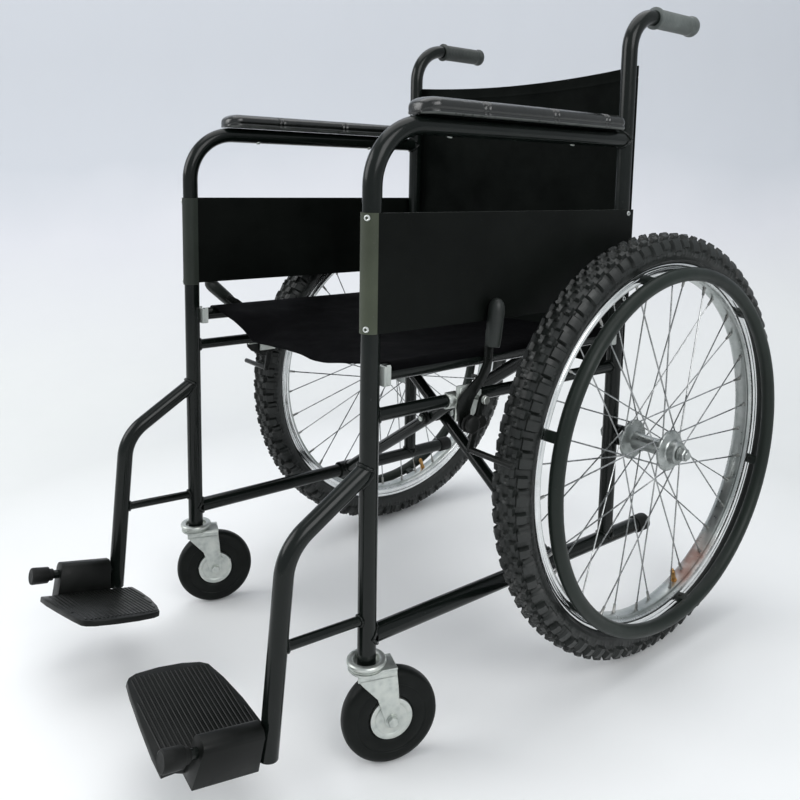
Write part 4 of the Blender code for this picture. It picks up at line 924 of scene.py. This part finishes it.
def panel(side, s):
    """Side sheet with its strip round the front post and two rivets; the strip is painted lighter than the
    sheet as painted light, most on the left side, and the sheet's top edge is painted lighter as a painted
    highlight.
    """
    half = 0.6
    middle = R_MAIN + 0.4 + half
    line = [(-middle, 6.0)] + arc((0.0, 0.0), middle, 180, 360, 20)
    line += [(middle + 0.4 * math.sin(y / 60.0), y) for y in range(20, 450, 20)] + [(middle, 449.0)]
    line = [Vector(p) for p in line]
    rows = (505.0, 506.0, 571.0, 637.0, 638.0)
    loop = [(half, z) for z in rows] + [(-half, z) for z in reversed(rows)]
    verts = []
    for p, normal in zip(line, line_normals(line)):
        for out, z in loop:
            q = p + normal * out
            verts.append(Vector((s * (X_FRAME + q.x), q.y, z)))
    part = verts, rings(len(line), len(loop)) + caps(len(line), len(loop))
    sheet = side_piece(side, "skirt_sheet", part, PANEL_PAINT, "frame", "side_panel", smooth=30.0)
    sheet.data.materials.append(STRIP_PAINT[side])
    sheet.data.materials.append(EDGE_HIGHLIGHT_PAINT)
    to_chair = TO_WORLD.inverted()
    for face in sheet.data.polygons:
        # Faces round the front post take the strip paint, whose lighter tone is painted light
        if (to_chair @ face.center).y < 4.0:
            face.material_index = 1
        # Faces that look up, along the sheet's top edge, take the lighter paint: painted highlight
        elif (to_chair.to_3x3() @ face.normal).z > 0.8:
            face.material_index = 2
    rivets = []
    turn = math.radians(-60)
    out = Vector((s * math.cos(turn), math.sin(turn), 0.0))
    for z in (510.5, 632.5):
        rivets.append(eyelet(Vector((s * X_FRAME, 0.0, z)) + out * (middle + 0.5), out, 3.7, 1.5))
        rivets.append(eyelet((s * (X_FRAME + middle + 0.8), Y_BACK - 1, z), (s, 0, 0), 3.5, 1.5))
    side_piece(side, "skirt_rivets", merge(*rivets), RIVET, "frame", slot="zinc")


def push_grip(side, s):
    """Ribbed grip with a flange, on the end of the push handle; its rubber is painted lighter on the left as
    painted light and darker on the right as painted shade.
    """
    end = GRIP_END[side]
    flange = end - 97.0
    profile = [(flange, R_MAIN + 0.3), (flange, 14.8), (flange + 0.9, 15.7), (flange + 4.0, 15.7),
               (flange + 5.2, 14.0)]
    y = flange + 6.2
    while y < end - 16.0:
        profile += [(y, 13.1), (y + 0.9, 13.8), (y + 2.3, 13.8), (y + 3.2, 13.1)]
        y += 3.6
    tip = [(11.5, 13.9), (8.5, 14.2), (7.4, 15.2), (4.0, 15.3), (1.6, 14.3), (0.4, 10.5), (0.0, 4.0),
           (0.0, 0.3)]
    profile += [(end - back, r) for back, r in tip]
    part = lathe(profile, "Y", (s * X_FRAME, Z_HANDLE), 40)
    side_piece(side, "ribbed_grip", part, GRIP[side], "frame", "push_grip", smooth=50.0)


def arm_pad(side, s):
    """Moulded vinyl pad, pinched at three pairs of grooves, with a lighter band painted along its lower edges
    as a painted highlight.
    """
    x = s * X_FRAME
    first, last = 57.0, 415.0
    bottom = Z_ARM + R_MAIN + 0.35
    half = [(21.5, 0), (24.4, 0.8), (25.5, 3.0), (25.2, 4.8), (24.0, 5.9), (23.9, 6.4), (25.0, 7.4),
            (25.5, 10.0), (24.6, 13.8), (22.4, 16.8), (18.5, 18.8), (13, 19.9), (7, 20.4)]
    outline = [(-a, b) for a, b in half] + [(0, 20.5)] + half[::-1] + [(11, 0), (0, 0), (-11, 0)]
    n = len(outline)
    stations = []
    y = first
    while y < last:
        stations.append(y)
        y += 1.3
    stations.append(last)
    verts = []
    for y in stations:
        wide = tall = 1.0
        for share, narrow in (((y - first) / 20.0, 0.42), ((last - y) / 17.0, 0.46)):
            if share < 1:
                swell = math.sin(math.pi / 2 * share)
                wide *= narrow + (1 - narrow) * swell ** 0.7
                tall *= 0.55 + 0.45 * swell ** 0.6
        for groove in (141.5, 148.5, 261.5, 268.5, 363.5, 370.5):
            dip = math.exp(-((y - groove) / 1.5) ** 2)
            wide *= 1 - 0.055 * dip
            tall *= 1 - 0.13 * dip
        verts += [Vector((x + a * wide, y, bottom + b * tall)) for a, b in outline]
    part = verts, rings(len(stations), n) + caps(len(stations), n)
    obj = side_piece(side, "arm_cushion", part, VINYL, "frame", "arm_pad", smooth=60.0)
    obj.data.materials.append(PAD_EDGE_HIGHLIGHT)
    # Faces along the pad's lower edges take the lighter colour: painted highlight
    for face in obj.data.polygons[:(len(stations) - 1) * n]:
        if min(v % n for v in face.vertices) in (1, 2, n - 6, n - 5):
            face.material_index = 1


def saddles(side, s):
    """The two saddles that the seat tube drops into."""
    x = s * X_FRAME
    inner = R_CROSS + 0.35
    left = [(-11.8, 445.0), (-10.0, 443.5)]
    cheek = [(11.8, 466.0), (inner, 468.0)]
    outline = left + mirrored(left) + cheek + arc((0.0, Z_SEAT), inner, 0, -180, 16) + mirrored(cheek)
    shape = [(x + a, b) for a, b in outline]
    face = [(-10.8, 443.5), (10.8, 443.5), (11.8, 445.0), (11.8, 466.4), (-11.8, 466.4), (-11.8, 445.0)]
    face = [(x + a, b) for a, b in face]
    front = merge(prism(face, "Y", R_MAIN + 0.35, 15.4), prism(shape, "Y", 15.4, 21.0))
    rear = prism(shape, "Y", 417.0, Y_BACK - R_MAIN - 0.35)
    side_piece(side, "saddle_front", front, SADDLE, "frame", "front_saddle", bevel=0.5)
    side_piece(side, "saddle_rear", rear, SADDLE, "frame", "rear_saddle", bevel=0.5)


# Brakes


def placed(part, side, pivot, ratio):
    """Turn a brake piece to where that side's lever stands."""
    return turned(part, (0.0, pivot[0], pivot[1]), (1, 0, 0), LEVER_SET[side] * ratio)


def brake_bracket(side, s):
    """Bracket plate on its straps, with its studs and nuts."""
    base = X_FRAME + R_MID + 0.4
    plate = [(122, 400), (122, 428), (146, 428), (162, 418), (162, 402), (149, 384), (121, 384)]
    parts = [prism(plate, "X", s * base, s * (base + 3.0))]
    strap = arc((0.0, Z_MID), R_MID + 2.35, -100, 100, 14) + arc((0.0, Z_MID), R_MID + 0.35, 100, -100, 14)
    strap = [(s * (X_FRAME + a), b) for a, b in strap]
    for y in STRAPS[side]:
        parts.append(prism(strap, "Y", y, y + 17.0))
    screw = [(246.0, 0.5), (246.0, 3.0), (262.4, 3.0), (262.4, 5.5), (264.0, 5.5), (264.5, 5.0), (264.5, 0.5)]
    parts.append(spun(screw, s, (153.0, 410.0), 20))
    parts.append(hex_nut((s * 264.0, 153.0, 410.0), (s, 0, 0), 5.6, 3.6))
    parts.append(hex_nut((s * (base + 3.0), 129.0, 421.0), (s, 0, 0), 5.0, 1.5))
    side_piece(side, "brake_plate", merge(*parts), ZINC, "frame", "brake_bracket", bevel=0.4)
    stud = [(246.0, 0.5), (246.0, 3.5), (258.0, 3.5), (258.0, 10.0), (259.2, 12.0), (261.4, 12.0),
            (262.2, 10.0), (262.6, 6.0), (263.4, 6.0), (264.0, 10.0), (265.4, 11.4), (268.2, 11.2),
            (269.6, 9.6), (270.5, 6.0), (270.5, 0.5)]
    turn_nut = [(255.0, 0.5), (255.0, 8.0), (256.0, 9.0), (266.0, 9.0), (267.4, 7.6), (267.4, 0.5)]
    knob = merge(spun(stud, s, (131.0, 383.0), 8), spun(turn_nut, s, (146.0, 384.0), 7))
    side_piece(side, "brake_knob", knob, KNOB, "frame", slot="black_rubber")


def brake(side, s):
    """Brake: bracket, cranked lever with its grip, and the arm with its shoe rod."""
    brake_bracket(side, s)
    y0, z0 = LEVER_PIVOT
    outline = [(y0 - 9, z0 - 4), (y0 - 5, z0 - 9), (y0 + 4, z0 - 9), (y0 + 9, z0 - 3), (139.5, 397),
               (145.5, 411), (160, 426), (171, 441), (174.5, 455), (175.0, 474), (172.0, 492), (163.5, 494),
               (162.5, 470), (161, 453), (153, 438), (129, 421), (120, 412), (118, 402), (y0 - 10, z0 + 4)]
    lever = placed(prism(outline, "X", s * 249.6, s * 253.6), side, LEVER_PIVOT, 1.0)
    side_piece(side, "brake_bar", lever, BRAKE_PAINT, "brake_lever", "brake_lever", bevel=0.9)
    low = Vector((s * 261.0, 166.0, 474.0))
    high = Vector((s * 261.0, 171.6, 533.0))
    profile = [(0.0, 0.5), (0.0, 8.0), (0.8, 8.8), (14.0, 10.0), (44.0, 10.4), (50.0, 9.8), (55.0, 8.0),
               (58.5, 5.2), (60.0, 2.0), (60.0, 0.3)]
    ahead = (high - low).normalized()
    other = Vector((1, 0, 0))
    grip = framed(lathe(profile, "Z", (0.0, 0.0), 28), low, other, ahead.cross(other), ahead)
    grip = placed(grip, side, LEVER_PIVOT, 1.0)
    side_piece(side, "brake_handle", grip, BRAKE_GRIP, "brake_lever", slot="grip_rubber")

    top = Vector((0, 153.0, 410.0))
    end = Vector((0, 134.0, 350.0))
    ahead = (end - top).normalized()
    across = Vector((0, -ahead.z, ahead.y)) * 4.2
    head, foot = top - ahead * 6, end + ahead * 4
    corners = [head + across * 0.7, head - across * 0.7, top - across * 1.3, end - across, foot - across,
               foot + across, end + across, top + across * 1.3]
    arm = prism([(c.y, c.z) for c in corners], "X", s * 257.6, s * 261.8)
    rod = bar((s * 257.0, end.y, end.z), (s * 334.0, end.y, end.z), 4.0, 16, 1.0)
    arm = placed(merge(arm, rod), side, SHOE_PIVOT, SHOE_RATIO)
    side_piece(side, "brake_arm", arm, BRAKE_PAINT, "brake_shoe", "brake_shoe", bevel=0.6)


# Cross brace


def cross_brace():
    """The two crossed tubes, each with its sleeve and seat tube, and their bolt."""
    middle = (Z_BOTTOM + Z_SEAT) / 2
    along = (0, 1, 0)
    for name, s, y in (("front", 1, 290.0), ("rear", -1, 315.0)):
        low = Vector((-s * X_FRAME, y, Z_BOTTOM))
        high = Vector((s * X_FRAME, y, Z_SEAT))
        ahead = (high - low).normalized()
        sleeve = [(-16, 11.5), (-16, 14.0), (-15.2, 14.6)]
        sleeve = [(y + a, r) for a, r in sleeve + mirrored(sleeve)]
        parts = [
            tube([low + ahead * 12.0, high - ahead * 4.0], R_CROSS, 24),
            lathe(sleeve, "Y", (low.x, low.z), 32, closed=True),
            bar((high.x, 16.5, high.z), (high.x, 424.5, high.z), R_CROSS, 28, 2.6),
            weld(low + ahead * 60, -ahead, R_CROSS, low, along, 14.6, 11.0, 1.8),
            weld(high - ahead * 60, ahead, R_CROSS, high, along, R_CROSS, 12.0, 1.8),
        ]
        piece("cross_tube_" + name, merge(*parts), FRAME_PAINT, "cross_" + name, "cross_brace_" + name)
    stem = [(271.4, 0.5), (271.4, 7.8), (272.2, 8.5), (275.0, 8.5), (275.2, 10.6), (276.0, 11.0),
            (279.0, 11.0), (279.9, 10.6), (279.9, 5.0), (300.0, 5.0), (300.0, 9.0), (305.0, 9.0),
            (305.0, 5.0), (325.1, 5.0)]
    bolt = lathe(stem, "Y", (0.0, middle), 28)
    piece("brace_bolt", bolt, BRAKE_PAINT, "cross_front", "brace_pivot_bolt")
    nuts = [hex_nut((0, 325.1, middle), along, 9.0, 6.9), hex_nut((0, 271.4, middle), (0, -1, 0), 4.6, 3.3)]
    piece("brace_nuts", merge(*nuts), ZINC, "cross_front", slot="zinc")


# Cloth


def cloth_piece(name, grid, material, body, node=None, slot=None):
    """A closed sheet from a grid of points, with its thickness along the grid's normals."""
    rows, cols = len(grid), len(grid[0])
    upper, lower = [], []
    for i in range(rows):
        for j in range(cols):
            du = grid[min(i + 1, rows - 1)][j] - grid[max(i - 1, 0)][j]
            dv = grid[i][min(j + 1, cols - 1)] - grid[i][max(j - 1, 0)]
            step = du.cross(dv).normalized() * (CLOTH_THICKNESS / 2)
            upper.append(grid[i][j] + step)
            lower.append(grid[i][j] - step)
    half = rows * cols
    faces = patch(rows, cols) + patch(rows, cols, half)
    edge = list(range(0, half, cols)) + list(range(half - cols + 1, half))
    edge += list(range(half - cols - 1, 0, -cols)) + list(range(cols - 2, 0, -1))
    for a, b in zip(edge, edge[1:] + edge[:1]):
        faces.append((a, b, half + b, half + a))
    return piece(name, (upper + lower, faces), material, body, node, slot, smooth=60.0)


def between(points, x):
    """Value at a place on a line drawn straight from point to point."""
    if x <= points[0][0]:
        return points[0][1]
    for (x0, v0), (x1, v1) in zip(points, points[1:]):
        if x <= x1:
            return v0 + (v1 - v0) * (x - x0) / (x1 - x0)
    return points[-1][1]


def slack_at(x):
    """Share of its full sag that cloth between the side frames has at a place across."""
    return 1.0 - (x / X_FRAME) ** 2


def inner_places(edge):
    """Places across the chair from one edge to the other."""
    return [edge * (1 - 2 * k / CLOTH_STEPS) for k in range(CLOTH_STEPS + 1)]


def seat():
    """Slack cloth seat that laps over both seat tubes."""
    reach = R_CROSS + CLOTH_STAND
    lap = arc((X_FRAME, Z_SEAT), reach, 20, 90, 10)
    across = [(x, z, 0.0) for x, z in lap]
    across += [(x, Z_SEAT + reach, slack_at(x)) for x in inner_places(X_FRAME)[1:-1]]
    across += [(x, z, 0.0) for x, z in mirrored(lap)]
    edge = [(-236.5, 0), (-200, 4), (-159, 11), (-122, 23), (-100, 32), (-70, 31), (-10, 28), (38, 27),
            (67, 28), (99, 25), (178, 12), (210, 6), (236.5, 0)]
    grid = []
    rows = 60
    for i in range(rows + 1):
        t = (i / rows) ** 1.35
        line = []
        for x, z, slack in across:
            front = 29.0 - 4.0 * x / X_FRAME
            y = front + (408.0 - front) * t
            share = math.exp(-((y - front) / 62.0) ** 1.3)
            droop = 14.0 * slack * (1 - share) + between(edge, x) * share
            wrinkle = 3.0 * slack * noise.noise((x * 0.012, y * 0.010, 3.0))
            wrinkle += 0.9 * noise.noise((x * 0.03, y * 0.025, 7.0)) * min(1.0, slack * 4)
            crease = abs((y - front) - 0.42 * (x + 128.0)) / 7.0
            wrinkle += 1.8 * math.exp(-crease ** 2) * share * min(1.0, slack * 3)
            line.append(Vector((x, y, z - droop + wrinkle)))
        grid.append(line)
    obj = cloth_piece("seat_cloth", grid, SEAT_CLOTH, None, "seat_sling")
    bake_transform(obj)


def back():
    """Cloth back between two hems that wrap the back posts from behind."""
    low, tall, seam = 402.0, 436.0, 16.0
    seams = (low + seam, low + tall - seam)
    y_cloth = Y_BACK + R_MAIN + CLOTH_STAND
    levels = [low + tall * i / 52 for i in range(53)]
    levels += [mark + step for mark in seams for step in (-2.0, -0.8, 0.0, 0.8, 2.0)]
    levels.sort()

    def strip(across, push):
        """Grid of the cloth over a row of places across it."""
        grid = []
        for level in levels:
            line = []
            for x, y, slack in across:
                z = low + (level - low) * (1 - 9.0 * slack / tall)
                wrinkle = 2.4 * noise.noise((x * 0.008, z * 0.006, 11.0)) * slack
                wrinkle += 1.2 * noise.noise((x * 0.02, z * 0.012, 5.0)) * slack
                groove = min(abs(level - mark) for mark in seams)
                wrinkle -= 0.8 * math.exp(-(groove / 0.9) ** 2)
                line.append(Vector((x, y + push + 11.0 * slack + wrinkle, z)))
            grid.append(line)
        return grid

    edge = X_FRAME - 11.0
    for side, s in SIDES:
        across = [(s * x, y, 0.0) for x, y in arc((X_FRAME, Y_BACK), y_cloth - Y_BACK, 48, 90, 6)]
        across += [(s * (X_FRAME - inset), y_cloth, slack_at(X_FRAME - inset)) for inset in (5.0, 10.0, 15.0)]
        if s < 0:
            across.reverse()
        cloth_piece(side + "_back_hem", strip(across, 0.0), BACK_CLOTH, side + "_frame",
                                slot="sling_cloth")
    middle = [(x, y_cloth, slack_at(x)) for x in inner_places(edge)]
    obj = cloth_piece("back_cloth", strip(middle, 0.25), BACK_CLOTH, "right_frame", "back_sling")
    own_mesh(obj)


# Stage


def stage():
    """Pale floor that curves up into a hanging backdrop; the floor is painted lighter near the chair as
    painted fill light, and the cloth darker with height as painted shade.
    """
    m = Nodes("backdrop_cloth")
    parts = m.add("ShaderNodeSeparateXYZ", Vector=m.coords)
    # Painted shade: the cloth's colour darkens with height, in soft patches, and turns bluer
    height = m.math("ADD", parts.outputs["Z"], m.math("MULTIPLY", m.noise(1.1, 3.0, 0.5), 0.5))
    base = m.ramp(height, [(0.2, (0.74, 0.75, 0.74)), (0.75, (0.66, 0.665, 0.70)), (1.0, (0.57, 0.59, 0.63))])
    # Painted light: the floor is lighter within about a metre of the chair, as fill light in the shade under
    # it
    painted_fill_falloff = m.grey(m.vector("LENGTH", m.coords), [(0.5, 0.0), (1.5, 1.0)])
    m.set(Base_Color=m.mix(painted_fill_falloff, (0.93, 0.935, 0.935), base), Roughness=0.75)
    m.bump(m.noise(1.9, 3.0, 0.45, (1.0, 1.0, 0.3)), 0.45, 60.0)
    profile = [(-3.6 + 4.6 * k / 29, 0.0) for k in range(30)] + arc((1.0, 1.1), 1.1, -90, 0, 12)[1:]
    profile += [(2.1, 1.1 + 2.6 * k / 13) for k in range(1, 14)]
    facing = math.radians(50.0)
    direction = Vector((-math.sin(facing), math.cos(facing), 0))
    sideways = Vector((direction.y, -direction.x, 0))
    width = 40
    verts = []
    for a, z in profile:
        for j in range(width + 1):
            w = -4.0 + 8.0 * j / width
            ripple = 0.0
            if z > 0.05:
                ripple = 0.02 * noise.noise((w * 1.4, z * 0.5, 2.0)) * min(1.0, z)
            p = direction * (a - ripple) + sideways * w
            verts.append((p.x, p.y, z))
    mesh = bpy.data.meshes.new("backdrop")
    mesh.from_pydata(verts, [], patch(len(profile), width + 1))
    mesh.materials.append(m.material)
    mesh.shade_smooth()
    new_object("backdrop", mesh)


def lamp(name, place, target, size, power):
    """Soft rectangular lamp aimed at a point."""
    data = bpy.data.lights.new(name, "AREA")
    data.shape = "RECTANGLE"
    data.size, data.size_y = size
    data.energy = power
    way = Vector(target) - Vector(place)
    aim = way.to_track_quat("-Z", "Y").to_matrix().to_4x4()
    new_object(name, data).matrix_world = Matrix.Translation(Vector(place)) @ aim


def camera():
    """Camera at the photograph's viewpoint, given in the chair's level frame."""
    azimuth, pitch, roll = math.radians(50.03), math.radians(7.547), math.radians(1.265)
    right = Vector((math.cos(azimuth), math.sin(azimuth), 0.0))
    level = Vector((-math.sin(azimuth), math.cos(azimuth), 0.0))
    forward = level * math.cos(pitch) - Vector((0.0, 0.0, math.sin(pitch)))
    up = right.cross(forward)
    right_rolled = right * math.cos(roll) + up * math.sin(roll)
    up_rolled = -right * math.sin(roll) + up * math.cos(roll)
    turn = Matrix((right_rolled, up_rolled, -forward)).transposed().to_4x4()
    place = Matrix.Translation(Vector((0.9615, -0.5232, 0.6780)))
    data = bpy.data.cameras.new("photo_camera")
    data.sensor_width = 36.0
    data.lens = 817.5 / 800.0 * 36.0
    data.shift_x = -0.0375
    data.shift_y = -0.14375
    obj = new_object("photo_camera", data)
    obj.matrix_world = Matrix.Translation(SHIFT) @ LEAN @ place @ turn
    bpy.context.scene.camera = obj


SIDE_PARTS = (wheel, axle, caster, side_frame, foot_knob, footplate, panel, push_grip, arm_pad, saddles,
              brake)
for SIDE, SIGN in SIDES:
    for make in SIDE_PARTS:
        make(SIDE, SIGN)
cross_brace()
seat()
back()
stage()
camera()
lamp("top_soft", (-0.4, 0.4, 3.3), (-0.1, 0.2, 0.0), (3.2, 3.2), 48.0)
lamp("front_window", (-1.7, -2.7, 2.2), (0.0, 0.1, 0.2), (2.4, 2.0), 52.0)
lamp("right_window", (2.9, -0.4, 2.3), (0.0, 0.2, 0.2), (2.0, 2.0), 42.0)
studio = bpy.data.worlds.new("studio")
studio.use_nodes = True
sky = studio.node_tree.nodes["Background"].inputs
sky["Color"].default_value = (0.88, 0.93, 0.97, 1.0)
sky["Strength"].default_value = 0.58
bpy.context.scene.world = studio
bpy.context.scene.view_settings.view_transform = "Standard"
